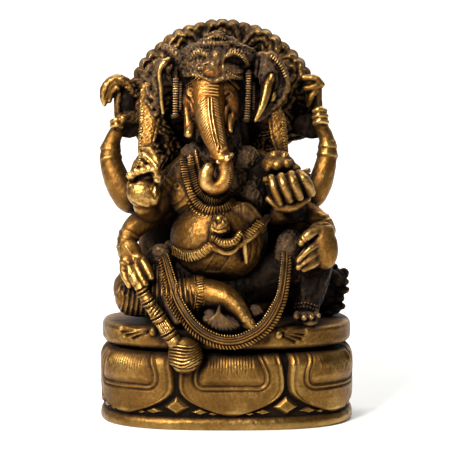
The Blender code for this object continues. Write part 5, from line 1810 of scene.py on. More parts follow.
@dataclass
class Arms:
    """The six arms, their bangles and hands."""

    BACK_RIGHT = (
        (-13.0, 3.0, 58.0, 6.0), (-24.0, 4.0, 49.0, 5.6), (-34.8, 3.0, 44.6, 5.4), (-39.6, 3.0, 48.8, 5.2),
        (-43.0, 4.0, 56.5, 4.5), (-44.0, 5.0, 62.5, 3.7), (-43.0, 5.5, 67.4, 3.1), (-41.4, 5.4, 70.6, 2.8),
    )
    BACK_LEFT = (
        (12.0, 3.0, 58.0, 6.0), (22.0, 4.0, 49.6, 5.4), (31.0, 3.0, 45.6, 4.8), (34.9, 3.0, 50.0, 4.7),
        (37.4, 4.0, 57.5, 4.1), (38.3, 5.0, 63.5, 3.4), (37.8, 5.5, 68.0, 2.9), (36.2, 5.4, 71.6, 2.7),
    )
    MIDDLE_RIGHT = ((-13.0, -2.5, 56.0, 6.0), (-22.0, -2.2, 47.0, 5.4), (-28.2, -5.0, 41.4, 5.0),
                    (-30.4, -9.6, 43.6, 4.2))
    MIDDLE_LEFT = ((12.0, -2.5, 56.0, 6.0), (19.0, -2.4, 48.5, 5.2), (24.2, -4.4, 43.0, 4.6),
                   (26.0, -9.0, 41.6, 3.8))
    LOWER_RIGHT = ((-20.0, 1.0, 42.0, 4.8), (-28.0, -2.4, 39.0, 4.6), (-34.2, -6.4, 35.4, 4.3),
                   (-37.0, -9.4, 30.4, 3.3),
                   (-37.4, -11.0, 26.0, 3.0))
    LOWER_LEFT = ((19.0, 0.0, 40.5, 5.0), (27.0, -3.0, 41.4, 4.6), (33.4, -5.8, 38.8, 3.8),
                  (37.6, -8.6, 34.4, 3.2))

    def arm(self, rows: Sequence[Sequence[float]], bangles: Sequence[float], seed: int,
            extra: Sequence[Shape] = ()) -> Shape:
        """One arm with its bangles."""
        return carved([limb(rows, sides=30), *rings_round(rows, bangles, 0.75, 0.9), *extra], (), 0.46,
                      0.10, seed)

    def back_hands(self) -> list[Piece]:
        """The raised fists."""
        right = carved([
            limb([(-41.4, 5.4, 70.6, 2.4), (-40.8, 4.8, 73.4, 2.5), (-39.8, 4.2, 75.6, 2.2)]),
            *digits([[(-42.6, 110.6, 4.6, 1.0), (-41.0, 111.2, 2.8, 1.1), (-39.0, 110.6, 3.6, 0.9)],
                     [(-42.8, 112.2, 4.6, 0.9), (-41.2, 112.9, 2.8, 1.0), (-39.2, 112.6, 3.4, 0.9)],
                     [(-39.6, 111.4, 3.6, 1.2), (-38.4, 113.4, 3.0, 1.5), (-37.2, 113.6, 3.6, 1.1)]]),
        ], (), 0.36, 0.09, 141)
        left = carved([
            limb([(36.2, 5.4, 71.6, 2.6), (35.4, 4.8, 75.0, 3.0), (34.8, 4.2, 78.2, 2.4)]),
            *digits([[(37.4, 112.0, 4.8, 1.0), (35.0, 112.5, 3.0, 1.15), (32.8, 111.6, 3.8, 0.95)],
                     [(37.2, 114.2, 4.8, 1.0), (34.8, 114.7, 3.0, 1.15), (32.6, 113.8, 3.8, 0.95)],
                     [(36.8, 116.2, 4.8, 0.95), (34.6, 116.8, 3.2, 1.1), (32.6, 116.0, 3.8, 0.9)]]),
        ], (), 0.36, 0.07, 143)
        return [
            Piece("back_fist_right", right, Finish.GOLD, ("back_hand_right",)),
            Piece("back_fist_left", left, Finish.GOLD, ("back_hand_left",)),
        ]

    def blessing_hand(self) -> list[Piece]:
        """The open palm with its curled fingers and wheel mark."""
        hand = carved([
            drawn_ball(-31.0, 85.2, -11.4, (6.3, 4.3, 5.4), (0, 14, 0)),
            drawn_ball(-34.2, 88.2, -10.4, (3.2, 3.2, 3.2)),
            drawn_ball(-27.4, 85.0, -12.4, (2.7, 3.0, 4.4)),
            drawn_ball(-31.2, 92.6, -9.6, (5.0, 3.0, 3.4), (0, 12, 0)),
            *[drawn_ball(x, z, y, (1.25 * r, r * 0.8, r), (0, 20, 0), sides=22) for x, z, y, r in (
                (-35.4, 91.9, -11.2, 1.8), (-33.2, 93.4, -11.6, 1.6), (-30.9, 93.8, -12.2, 1.6),
                (-28.6, 94.6, -12.8, 1.7),
                (-26.8, 93.8, -13.6, 1.8), (-26.0, 92.0, -13.8, 1.5), (-25.9, 90.3, -13.8, 1.2),
            )],
            *digits([[(-33.2, 96.6, -8.6, 1.5), (-31.0, 99.4, -10.0, 1.7), (-28.2, 97.6, -12.4, 1.5),
                      (-26.4, 95.4, -14.0, 1.4)],
                     [(-31.0, 101.6, -7.6, 1.3), (-28.6, 101.4, -9.4, 1.4), (-26.6, 98.8, -12.2, 1.3),
                      (-25.6, 96.4, -13.6, 1.2)],
                     [(-34.6, 93.6, -9.6, 1.4), (-33.2, 97.0, -9.4, 1.5), (-31.4, 96.2, -12.0, 1.2)]]),
        ], [
            Stroke([(-37.4, 89.8), (-34.6, 90.0), (-31.6, 91.6), (-28.0, 92.6)], -1.3, 0.55),
            Stroke([(-28.0, 85.6), (-26.6, 88.8), (-25.2, 86.6), (-26.6, 83.6), (-28.0, 85.6)], -0.5, 0.34),
            Stroke([(-26.6, 88.6), (-26.6, 84.0)], 0.3, 0.3),
            Stroke([(-30.6, 99.0), (-28.6, 97.0), (-26.8, 94.6)], -0.4, 0.3),
            Stroke([(-36.6, 84.6), (-33.4, 81.6), (-28.6, 80.2)], 0.3, 0.5),
            Stroke([(-34.8, 82.0), (-31.8, 80.2), (-28.8, 79.4)], -0.35, 0.4),
        ], 0.34, 0.12, 145)
        top = Surface([hand])
        chain = Row([top.lay([(-32.6, 102.0), (-32.4, 98.6), (-33.8, 95.4)], 0.0)], 0.95, (0.3, 0.8, 0.36))
        return [
            Piece("open_palm", hand, Finish.GOLD, ("blessing_hand",)),
            ROWS.piece("palm_chain", [chain], Finish.GOLD),
        ]

    def bowl(self) -> list[Piece]:
        """The bowl of sweets and the fingers that carry it."""
        turn = np.arange(72) * math.tau / 72
        centre = np.array([23.2, -10.7, 0.0])
        profile = [(1.0, 79.6), (3.4, 79.4), (5.4, 80.6), (7.0, 83.0), (7.9, 86.2), (8.0, 89.0),
                   (7.5, 90.6), (7.9, 91.6),
                   (7.4, 92.4), (6.4, 92.4), (6.0, 90.6)]
        rings = np.stack([
            centre + np.stack([r * np.cos(turn), 0.85 * r * np.sin(turn),
                               np.full(72, z) + 0.14 * r * np.cos(turn)], axis=1)
            for r, z in curve_through(profile, 0.35)
        ])
        bowl = skin(rings).pressed(lambda p, n: 0.14 * grain(p, 151, 1.8))
        fingers = carved(digits([
            [(16.8, 91.0, -17.4, 1.6), (17.8, 88.0, -19.2, 1.75), (19.0, 84.8, -19.0, 1.7),
             (19.9, 81.9, -17.6, 1.4)],
            [(20.4, 91.6, -18.8, 1.7), (21.4, 89.0, -20.6, 1.8), (22.7, 85.8, -20.4, 1.75),
             (23.7, 83.0, -18.8, 1.45)],
            [(24.2, 92.4, -18.8, 1.7), (25.1, 89.8, -20.6, 1.85), (26.4, 86.6, -20.4, 1.8),
             (27.4, 83.9, -18.8, 1.5)],
            [(27.2, 92.8, -17.4, 1.7), (28.8, 91.0, -19.2, 2.0), (30.4, 88.4, -18.8, 2.0),
             (31.6, 85.6, -16.8, 1.7)],
            [(15.6, 83.4, -15.6, 1.2), (17.2, 82.0, -16.6, 1.2), (18.6, 80.8, -16.6, 1.0)],
            [(19.0, 80.2, -15.6, 1.6), (24.4, 80.4, -15.8, 2.0), (29.6, 83.6, -14.2, 2.0)],
        ]), [
            Stroke([(x, z), (x + 1.2, z + 0.2), (x + 2.6, z + 0.9)], -0.3, 0.25)
            for x, z in ((17.4, 86.6), (20.8, 88.0), (25.0, 88.8), (28.6, 89.8))
        ], 0.34, 0.06, 153)
        heap = carved([
            drawn_ball(19.4, 96.4, -9.8, (6.2, 5.6, 3.9)), drawn_ball(18.8, 98.6, -9.8, (4.4, 4.2, 2.9)),
            drawn_ball(24.4, 94.6, -9.8, (3.4, 4.4, 2.2)), drawn_ball(16.2, 95.4, -12.2, (2.2, 2.2, 2.2)),
            drawn_ball(19.2, 95.8, -14.2, (2.3, 2.0, 2.2)), drawn_ball(22.6, 96.2, -13.6, (2.1, 2.0, 2.1)),
            drawn_ball(18.0, 99.6, -12.0, (2.2, 2.2, 1.9)), drawn_ball(21.6, 99.4, -11.8, (2.0, 2.0, 1.8)),
        ], [Stroke([(14.4, 98.0), (17.8, 101.0), (21.6, 100.6), (24.4, 97.4)], 0.3, 0.4, pitch=1.1)], 0.36,
                      0.14, 155)
        rim = []
        for shift, height in ((0.0, 0.0), (0.9, -1.3)):
            angle = np.radians(np.linspace(188, 352, 40))
            ring = np.stack([23.0 + (7.6 - shift) * np.cos(angle) - 0.9,
                             -10.7 + (6.9 - shift) * np.sin(angle),
                             93.0 + height + 0.22 * 7.6 * np.cos(angle)], axis=1)
            rim.append(ring)
        lip = Shape.joined([tube([[*p, 0.95] for p in ring[::3]], sides=12) for ring in rim])
        out = [np.stack([np.cos(np.radians(np.linspace(188, 352, 40))),
                         np.sin(np.radians(np.linspace(188, 352, 40))),
                         np.full(40, 0.25)], axis=1)] * 2
        ribs = Row([(ring + o * 0.75, o) for ring, o in zip(rim, out)], 0.86, (0.28, 0.85, 0.42), Bead.BAR)
        return [
            Piece("bowl_skin", Shape.joined([bowl, lip]), Finish.SOOT_AND_SHADE, ("sweets_bowl",)),
            Piece("bowl_fingers", fingers, Finish.AGED, ("bowl_hand",)),
            Piece("bowl_sweets", heap, Finish.AGED, ("sweets_heap",)),
            ROWS.piece("bowl_ribs", [ribs], Finish.GOLD),
        ]

    def lower_hands(self) -> list[Piece]:
        """The hand on the mace and the hand on the raised knee."""
        mace = carved([
            drawn_ball(-36.2, 63.0, -8.8, (4.3, 2.8, 5.2), (0, -8, 0)),
            drawn_ball(-37.2, 59.4, -10.0, (3.2, 2.2, 3.0)),
            drawn_ball(-33.4, 60.4, -10.6, (3.2, 2.2, 3.0)),
            *digits([[(-38.8, 59.0, -9.6, 1.5), (-38.4, 54.8, -12.0, 1.5), (-36.4, 50.8, -13.8, 1.3)],
                     [(-36.8, 58.8, -10.8, 1.7), (-35.6, 54.8, -13.4, 1.75), (-33.4, 51.2, -15.0, 1.4)],
                     [(-34.4, 59.2, -11.2, 1.75), (-32.6, 54.8, -14.0, 1.8), (-30.6, 51.2, -15.6, 1.45)],
                     [(-32.0, 60.8, -11.0, 1.75), (-30.0, 57.2, -13.2, 1.8), (-28.4, 53.8, -14.8, 1.4)]]),
        ], [
            Stroke([(-39.8, 60.0), (-37.4, 58.8), (-35.0, 59.2)], -0.35, 0.35),
            Stroke([(-35.6, 61.6), (-33.2, 60.4), (-31.6, 61.4)], -0.35, 0.35),
            Stroke([(-38.0, 65.6), (-36.0, 63.0), (-35.0, 60.6)], 0.25, 0.4),
            Stroke([(-39.4, 56.6), (-37.8, 56.0)], -0.3, 0.3),
            Stroke([(-36.4, 55.8), (-34.8, 55.2)], -0.3, 0.3),
        ], 0.34, 0.07, 161)
        knee = carved([
            drawn_ball(36.4, 65.2, -11.4, (5.4, 4.0, 8.4), (0, -8, 0), sides=44),
            drawn_ball(35.6, 71.0, -10.4, (5.0, 3.6, 3.8)),
            *digits([[(34.2, 71.0, -12.4, 2.0), (30.8, 69.6, -13.8, 2.2), (28.2, 66.8, -13.8, 1.6)],
                     [(34.0, 66.0, -13.6, 1.7), (30.6, 63.6, -14.8, 1.8), (27.2, 60.1, -14.6, 1.4)],
                     [(34.6, 63.0, -13.4, 1.4), (31.0, 60.4, -14.6, 1.5), (26.9, 57.3, -14.6, 1.1)],
                     [(34.8, 60.2, -12.8, 1.3), (32.2, 58.3, -14.2, 1.3), (29.0, 56.5, -14.2, 1.0)]]),
        ], [
            Stroke([(27.6, 68.2), (29.6, 66.2)], -0.4, 0.28),
            Stroke([(28.6, 69.2), (30.4, 67.2)], -0.3, 0.28),
            Stroke([(34.2, 69.4), (31.2, 66.8), (27.4, 62.4)], -0.9, 0.4),
            Stroke([(34.6, 64.8), (31.4, 62.6), (27.2, 58.6)], -0.6, 0.3),
            Stroke([(34.8, 61.8), (31.8, 59.8), (28.2, 57.0)], -0.5, 0.3),
            Stroke([(31.2, 74.6), (35.4, 73.8), (39.6, 74.2)], -0.5, 0.35),
        ], 0.34, 0.07, 163)
        return [
            Piece("mace_fist", mace, Finish.GOLD, ("mace_hand",)),
            Piece("knee_palm", knee, Finish.AGED, ("knee_hand",)),
        ]

    def held(self) -> list[Piece]:
        """The goad and the axe in the back hands, and dark discs of painted shade beside the fists."""
        goad = carved([
            limb([(-40.6, 4.6, 74.0, 1.5), (-41.2, 4.6, 80.0, 1.4), (-40.4, 4.6, 88.4, 1.6)]),
            drawn_tube([(-45.4, 118.6, 6.2, 0.9), (-45.6, 121.4, 6.4, 1.7), (-44.4, 125.2, 6.8, 2.2),
                        (-40.6, 127.6, 7.2, 2.3),
                        (-36.8, 126.2, 7.6, 2.0), (-34.0, 122.8, 8.2, 1.6), (-31.0, 120.8, 8.8, 1.1)]),
            drawn_tube([(-43.8, 120.2, 7.0, 1.3), (-43.0, 123.4, 7.0, 1.6), (-40.8, 124.8, 6.4, 1.5)]),
            drawn_ball(-35.2, 114.0, 8.6, (4.4, 2.4, 2.8)), drawn_ball(-33.0, 125.4, 10.0, (2.6, 1.8, 3.0)),
            drawn_ball(-32.2, 117.6, 8.8, (2.2, 2.2, 3.2)),
        ], [
            Stroke([(-45.2, 121.0), (-43.4, 125.6), (-40.4, 127.2), (-36.8, 125.4)], -0.45, 0.4),
            Stroke([(-37.6, 128.4), (-35.0, 126.2), (-33.4, 122.6)], -0.5, 0.35),
            Stroke([(-41.0, 113.6), (-41.4, 119.0), (-40.6, 124.4)], -0.3, 0.35),
            Curls((-40.0, 110.0), (-29.0, 130.0), 2.6, 1.3, 0.2, 21),
        ], 0.36, 0.16, 171)
        axe = carved([
            limb([(34.8, 4.6, 76.0, 1.6), (34.2, 4.6, 87.6, 1.8)]),
            drawn_tube([(28.8, 128.4, 7.6, 1.2), (33.0, 128.2, 7.4, 1.5), (35.2, 126.0, 7.4, 1.5)]),
            drawn_tube([(29.4, 124.4, 7.4, 1.2), (33.0, 125.2, 7.0, 1.6), (34.8, 126.6, 7.2, 1.2)]),
            drawn_ball(31.4, 121.6, 8.6, (2.2, 1.4, 3.6)),
            drawn_tube([(30.6, 118.4, 8.0, 1.0), (31.8, 121.6, 6.6, 1.3), (33.6, 123.8, 6.8, 1.0)]),
        ], [Stroke([(33.0, 121.6), (33.6, 117.6)], -0.35, 0.35)], 0.36, 0.12, 173)
        # Flat discs in the darkest finish, set in the gaps beside the back fists: painted shade that stands
        # for the deep shadow there.
        shade_discs = carved([
            drawn_ball(-37.2, 119.6, 9.6, (3.4, 1.6, 6.0)),
            drawn_ball(-36.2, 110.2, 9.6, (5.2, 1.6, 4.2), (0, -12, 0)),
            drawn_ball(31.0, 110.4, 10.4, (6.4, 1.6, 4.6), (0, 16, 0)),
        ], (), 0.4, 0.3, 173)
        return [
            Piece("painted_shade_discs", shade_discs, Finish.SOOT_AND_SHADE),
            Piece("goad_hook", goad, Finish.AGED, ("goad",)),
            Piece("axe_blade", axe, Finish.AGED, ("axe",)),
        ]

    def build(self) -> list[Piece]:
        """The arms' pieces."""
        elbow = drawn_ball(33.6, 76.4, -3.4, (3.4, 3.4, 3.0))
        return [
            Piece("upper_arm_back_right", self.arm(self.BACK_RIGHT, (0.80, 0.865), 131), Finish.GOLD,
                  ("back_arm_right",)),
            Piece("upper_arm_back_left", self.arm(self.BACK_LEFT, (0.80, 0.865), 132), Finish.GOLD,
                  ("back_arm_left",)),
            Piece("upper_arm_middle_right", self.arm(self.MIDDLE_RIGHT, (0.3, 0.38), 133), Finish.GOLD,
                  ("middle_arm_right",)),
            Piece("upper_arm_middle_left", self.arm(self.MIDDLE_LEFT, (0.3, 0.38), 134), Finish.SOOT_AND_SHADE,
                  ("middle_arm_left",)),
            Piece("upper_arm_lower_right", self.arm(self.LOWER_RIGHT, (0.76, 0.84, 0.92), 135), Finish.GOLD,
                  ("lower_arm_right",)),
            Piece("upper_arm_lower_left", self.arm(self.LOWER_LEFT, (0.82, 0.92), 136, [elbow]), Finish.GOLD,
                  ("lower_arm_left",)),
            *self.back_hands(), *self.blessing_hand(), *self.bowl(), *self.lower_hands(), *self.held(),
        ]


# ---------------------------------------------------------------------------------------------------
# Legs, dress and the mouse
# ---------------------------------------------------------------------------------------------------


@dataclass
class Legs:
    """The legs, their cloth and feet, the sash, the mace and the mouse."""

    def folded(self) -> list[Piece]:
        """The leg folded on the seat, draped to the shin in pleats, and its bare foot."""
        pleats = []
        for k, x in enumerate(np.linspace(-38.0, -12.4, 16)):
            lean = 0.16 * (x + 25.0)
            pleats.append(Stroke([(x - lean, 59.0 - 0.1 * abs(x + 25)), (x, 52.0), (x + 0.5 * lean, 44.0),
                                  (x + lean, 39.6)],
                                 0.42 if k % 2 else 0.34, 0.36))
            pleats.append(Stroke([(x + 0.85 - lean, 58.6), (x + 0.85, 52.0), (x + 0.85 + lean, 40.4)],
                                 -0.34, 0.34))
        pleats.append(Stroke([(-40.8, 48.2), (-39.4, 50.8), (-36.8, 50.2), (-36.6, 47.6), (-38.6, 46.8),
                              (-39.4, 48.4)], 0.5, 0.4))
        draped = carved([
            limb([(-10.0, 0.0, 13.0, 10.4), (-24.0, -3.0, 13.0, 9.6), (-34.4, -5.0, 12.0, 8.2)], sides=40),
            limb([(-34.6, -7.6, 9.0, 7.2), (-22.0, -13.6, 9.6, 7.4), (-12.0, -16.4, 10.4, 7.0)], sides=40),
            lump((-25.0, -8.0, 16.0), (13.0, 9.0, 6.0), (0, 14, 0)),
            lump((-37.0, -9.0, 9.4), (4.6, 5.0, 5.6)),
        ], pleats, 0.53, 0.12, 181, finer=True)
        shin = carved([
            limb([(-13.0, -16.2, 11.2, 6.4), (-6.0, -18.6, 11.6, 5.6), (-0.4, -21.2, 10.4, 4.9),
                  (4.0, -24.0, 7.2, 3.6),
                  (7.0, -26.0, 3.8, 2.5)], sides=36),
            lump((4.6, -24.6, 7.6), (2.6, 2.4, 2.6)),
        ], (), 0.40, 0.08, 183)
        foot = carved([
            limb([(6.4, -25.6, 4.4, 2.3), (8.6, -26.8, 1.9, 2.1), (10.6, -27.4, -0.2, 1.5)], flatness=0.8,
                 step=0.3),
            limb([(9.6, -27.2, 0.6, 1.5), (10.8, -27.6, -1.6, 1.35)], step=0.3),
        ], [Stroke([(9.0, 37.2), (9.8, 36.0), (10.9, 36.4)], -0.3, 0.25)], 0.34, 0.06, 185)
        top = Surface([draped, shin])
        hem = Row([
            top.lay([(-10.6, 57.0), (-9.8, 52.0), (-9.6, 47.0), (-10.4, 42.6)], 0.1),
        ], 1.15, (0.34, 1.35, 0.5), Bead.BAR)
        edge = Row([
            top.lay([(-12.4, 57.0), (-11.7, 51.0), (-11.5, 46.0), (-12.2, 42.0)], 0.1),
            top.lay([(-8.7, 56.4), (-8.0, 51.0), (-7.8, 46.6), (-8.6, 43.4)], 0.0),
        ], 0.8, (0.46, 0.3, 0.34))
        return [
            Piece("folded_cloth", draped, Finish.AGED, ("folded_leg",)),
            Piece("folded_shin", shin, Finish.GOLD),
            ROWS.piece("folded_hem", [hem, edge], Finish.GOLD),
            Piece("folded_toes", foot, Finish.GOLD, ("folded_foot",)),
        ]

    def raised(self) -> list[Piece]:
        """The raised leg and its foot."""
        folds = [
            Stroke([(20.5, 66.0), (25.0, 60.0), (30.0, 52.4)], -0.5, 0.6),
            Stroke([(22.0, 62.0), (25.4, 56.0), (28.6, 48.0)], 0.4, 0.5),
            Stroke([(36.0, 62.0), (35.4, 54.0), (32.4, 46.0)], -0.4, 0.6),
            Stroke([(39.0, 60.0), (37.6, 53.0), (34.4, 46.4)], 0.4, 0.5),
            Stroke([(31.0, 53.0), (30.6, 48.0), (29.6, 44.6)], -0.45, 0.5),
            Stroke([(17.4, 60.6), (22.4, 54.0), (24.6, 48.0)], 0.4, 0.6),
            Curls((16.0, 40.0), (46.0, 72.0), 3.2, 1.7, 0.2, 19),
        ]
        leg = carved([
            limb([(8.0, 0.0, 13.0, 9.8), (22.0, -3.0, 20.0, 9.4), (33.6, -6.0, 24.6, 7.0)], sides=40),
            limb([(34.2, -7.0, 24.4, 6.4), (32.4, -9.0, 14.0, 5.4), (29.8, -11.0, 6.0, 4.6)], sides=36),
        ], folds, 0.50, 0.18, 187)
        foot = carved([
            limb([(28.8, -11.0, 3.2, 3.4), (29.6, -15.0, 2.8, 3.8), (30.4, -18.4, 1.9, 3.2)], flatness=0.62,
                 thin=(0, 0, 1)),
            *digits([[(26.6, 39.6, -15.2, 1.3), (26.4, 38.8, -17.4, 1.2)],
                     [(29.2, 39.2, -16.0, 1.3), (29.3, 38.4, -18.2, 1.2)],
                     [(31.6, 39.4, -15.8, 1.2), (32.0, 38.7, -17.8, 1.1)],
                     [(33.8, 39.8, -15.2, 1.1), (34.5, 39.2, -16.8, 1.0)]]),
        ], (), 0.36, 0.12, 189)
        top = Surface([foot, leg])
        anklet = Row([top.lay([(26.0, 42.2), (30.0, 42.6), (34.6, 41.0)], 0.2),
                      top.lay([(26.4, 43.6), (30.4, 44.0), (34.6, 42.6)], 0.2)],
                     1.2, (0.42, 0.4, 0.36))
        return [
            # The leg's darkest finish is painted shade: below the knee hand it lies in deep shadow.
            Piece("raised_cloth", leg, Finish.SOOT_AND_SHADE, ("raised_leg",)),
            Piece("raised_toes", foot, Finish.DUSTY, ("raised_foot",)),
            ROWS.piece("anklet", [anklet], Finish.DUSTY),
        ]

    def lap(self) -> list[Piece]:
        """The cloth between the legs, darkened as painted shade, and the lotus leaf that lies on the seat in
        front of it.
        """
        folds = [Stroke([(a, 58.0), (a * 1.06, 50.0), (a * 1.25, 42.0)], -0.5, 0.5)
                 for a in (1.0, 4.0, 7.0, 10.0, 13.0, 16.0)]
        cloth = carved([
            limb([(1.0, -3.0, 10.0, 14.0), (2.0, -10.0, 2.4, 11.0)], flatness=0.62, thin=(0, 0.6, 0.8),
                 sides=40),
            drawn_tube([(-24.0, 59.0, 1.0, 5.0), (-12.0, 55.0, -2.0, 5.0), (0.0, 51.0, -4.0, 5.0),
                        (12.0, 52.0, -2.0, 5.0)]),
        ], [*folds, Curls((-30.0, 40.0), (24.0, 66.0), 3.0, 1.6, 0.16, 17)], 0.62, 0.25, 191)
        fan = [Stroke([(-3.0, 40.0), (x * 0.6 - 2.0, 37.6 - 0.1 * (8 - abs(x))),
                       (x - 0.6, 33.4 + 0.075 * x * x)], 0.6, 0.36)
               for x in (-7.4, -6.0, -4.6, -3.2, -1.8, -0.4, 1.0, 2.4, 3.8, 5.2)]
        leaf = carved([
            drawn_ball(-1.6, 36.6, -22.2, (7.4, 3.4, 3.4), (0, 10, 0)),
            drawn_ball(-4.6, 39.4, -19.6, (4.0, 4.0, 2.2), (0, 14, 0)),
            drawn_tube([(4.0, 37.0, -21.0, 1.0), (9.0, 34.6, -23.4, 0.9), (13.6, 36.6, -22.0, 0.8)]),
        ], fan, 0.38, 0.14, 192)
        sole = carved([
            drawn_ball(11.4, 41.0, -16.4, (3.0, 3.0, 1.9), (0, 30, 0)),
            *digits([[(9.4, 41.4, -18.6, 0.9), (10.6, 39.4, -19.6, 0.9)],
                     [(10.8, 41.8, -18.2, 0.9), (12.0, 39.9, -19.2, 0.85)],
                     [(12.0, 42.0, -17.8, 0.8), (13.2, 40.2, -18.6, 0.8)]]),
        ], (), 0.36, 0.12, 190)
        return [
            # The cloth's darkest finish is painted shade for the deep shadow between the belly and the
            # raised knee.
            Piece("lap_folds", cloth, Finish.SOOT_AND_SHADE, ("lap_cloth",)),
            Piece("seat_leaf", leaf, Finish.DUSTY),
            Piece("hidden_sole", sole, Finish.DUSTY),
        ]

    def sash(self) -> list[Piece]:
        """The looped sash: a ribbed cord with beads inside its curve and a leafy fringe outside."""
        rows = [
            (-25.0, -3.0, 26.0, 1.2), (-23.2, -10.6, 25.0, 1.4), (-20.8, -16.0, 18.0, 1.7),
            (-17.6, -22.4, 9.4, 1.85), (-11.8, -26.8, 1.4, 1.95),
            (-5.6, -28.2, -2.6, 1.95), (1.0, -28.8, -4.0, 1.95), (7.4, -28.4, -2.6, 1.95),
            (14.0, -26.8, 1.8, 1.95),
            (19.4, -21.8, 10.5, 1.8), (21.4, -15.4, 20.4, 1.7), (22.0, -10.8, 27.4, 1.5),
            (23.0, -2.0, 30.6, 1.2),
        ]
        cord = carved([limb(rows, flatness=0.6, sides=24, step=0.4)], (), 0.38, 0.05, 193)
        cloth = carved([
            drawn_ball(23.6, 63.6, -5.8, (5.6, 3.6, 8.2), (0, 6, 0), sides=40),
            drawn_ball(26.6, 57.0, -4.8, (4.2, 3.0, 6.0)),
            drawn_ball(-24.8, 60.4, -5.2, (5.4, 3.4, 6.0), sides=36),
        ], [Curls((-31.0, 50.0), (32.0, 74.0), 1.8, 1.2, 0.16, 29)], 0.38, 0.24, 195)
        run = curve_through([[x, y + FIGURE_Y, h + SEAT_TOP, r] for x, y, h, r in rows], 0.4)
        step = np.gradient(run[:, :3], axis=0)
        step /= np.linalg.norm(step, axis=1, keepdims=True)
        toward = EYE.place - run[:, :3]
        toward /= np.linalg.norm(toward, axis=1, keepdims=True)
        side = np.cross(step, toward)
        side /= np.linalg.norm(side, axis=1, keepdims=True)
        middle = np.array([0.0, -22.0, 62.0])
        inward = np.sign(((middle - run[:, :3]) * side).sum(axis=1))[:, None] * side
        front = np.cross(side, step)
        front *= np.sign((front * toward).sum(axis=1))[:, None]
        r = run[:, 3:4] * (0.9 - 0.2 * ramp(run[:, :1], 17.0, 20.5))

        def line(across: float, up: float) -> tuple[Array, Array]:
            """A path beside the cord's middle, in shares of its radius."""
            return run[:, :3] + inward * r * across + front * r * up, front

        beads = Row([line(1.02, 0.5)], 1.02, (0.46, 0.5, 0.5))
        rib = [tube(np.concatenate([line(across, up)[0][::4], np.full((len(run[::4]), 1), size)], axis=1),
                    sides=10)
               for across, up, size in ((0.5, 0.62, 0.36), (0.02, 0.74, 0.34), (-0.52, 0.66, 0.46))]
        leaves = Row([line(-1.3, 0.25)], 1.2, (0.5, 1.2, 0.55), Bead.LEAF, 32.0)
        band = [(-25.0, 58.0), (-23.6, 51.0), (-21.0, 43.0), (-17.4, 37.4)]
        outer = drawn_path([(-25.4, 58.0, -8.0), (-24.4, 51.0, -13.4), (-22.0, 43.0, -19.0),
                            (-18.8, 37.0, -22.4)], 0.8)
        strip = fused([tube(np.concatenate([outer, np.full((len(outer), 1), 1.6)], axis=1), flatness=0.6)],
                      0.36)
        second = Row([Surface([strip]).lay(band, 0.0)], 1.2, (0.42, 1.3, 0.5), Bead.LEAF, 30.0)
        return [
            Piece("sash_cord", Shape.joined([cord, strip]), Finish.SOOT_AND_SHADE, ("sash_loop",)),
            Piece("sash_cloth", cloth, Finish.DUSTY),
            Piece("sash_ribs", Shape.joined(rib), Finish.AGED),
            ROWS.piece("sash_beads", [beads], Finish.GOLD),
            ROWS.piece("sash_leaves", [leaves, second], Finish.AGED),
        ]

    def mace(self) -> list[Piece]:
        """The mace that leans on the seat, with ringed shaft and coiled head."""
        start, end = np.array([-33.0, 51.0]), np.array([-19.6, 28.6])
        way = (end - start) / np.linalg.norm(end - start)
        off = np.array([way[1], -way[0]])

        def cross(share: float, height: float, width: float = 0.32) -> Stroke:
            """A line across the shaft."""
            middle = start + share * (end - start)
            a, b = middle - off * 3.0, middle + off * 3.0
            return Stroke([tuple(a), tuple(middle + way * 0.4), tuple(b)], height, width)

        strokes = [cross(s, 0.55) for s in (0.10, 0.15, 0.26, 0.31, 0.52, 0.57, 0.80, 0.85)]
        strokes += [cross(s, -0.5, 0.26) for s in (0.125, 0.285, 0.545, 0.825, 0.06, 0.35, 0.62, 0.9)]
        for s in (0.38, 0.43, 0.48):
            a = start + s * (end - start) - off * 2.0
            b = start + (s + 0.05) * (end - start) + off * 2.0
            strokes.append(Stroke([tuple(a), tuple((a + b) / 2), tuple(b)], -0.45, 0.3))
        for shift in (-1.3, -0.45, 0.45, 1.3):
            a, b = start + 0.64 * (end - start) + off * shift, start + 0.79 * (end - start) + off * shift
            strokes.append(Stroke([tuple(a), tuple((a + b) / 2), tuple(b)], -0.4, 0.26))
        shaft = carved([limb([
            (-33.4, -17.6, 17.4, 2.1), (-28.6, -22.0, 9.5, 2.3), (-23.4, -26.2, 2.4, 2.6),
            (-18.6, -28.8, -4.6, 2.7),
        ], flatness=0.85, sides=32), limb([(-33.8, -17.2, 17.8, 2.6), (-33.0, -18.2, 16.2, 2.3)])], strokes,
                       0.40, 0.06, 195, finer=True)
        coils = []
        for k, tilt in enumerate((-3.8, -2.5, -1.2, 0.1, 1.4, 2.7, 4.0)):
            bend = 2.4 - 0.2 * abs(tilt)
            coils.append(Stroke([(-21.4, 24.4 + tilt * 0.9), (-15.0 + 0.4 * tilt, 22.6 + tilt + bend * 0.4),
                                 (-9.0, 26.6 + tilt * 0.8)],
                                0.42 if k % 2 else 0.36, 0.4))
            coils.append(Stroke([(-21.4, 23.7 + tilt * 0.9), (-15.0 + 0.4 * tilt, 21.9 + tilt + bend * 0.4),
                                 (-9.0, 25.9 + tilt * 0.8)],
                                -0.45, 0.3))
        coils += [Stroke([(-20.0, 18.6), (-15.2, 16.9), (-10.4, 18.6)], 0.4, 0.55),
                  Stroke([(-20.6, 20.0), (-15.2, 18.4), (-9.8, 20.2)], -0.5, 0.36)]
        ball_skin = carved([lump((-14.9, -27.4, -9.2), (6.4, 6.2, 6.6), sides=56)], coils, 0.42, 0.06, 197,
                           finer=True)
        return [
            Piece("mace_rod", shaft, Finish.GOLD, ("mace_shaft",)),
            Piece("mace_ball", ball_skin, Finish.GOLD, ("mace_head",)),
        ]

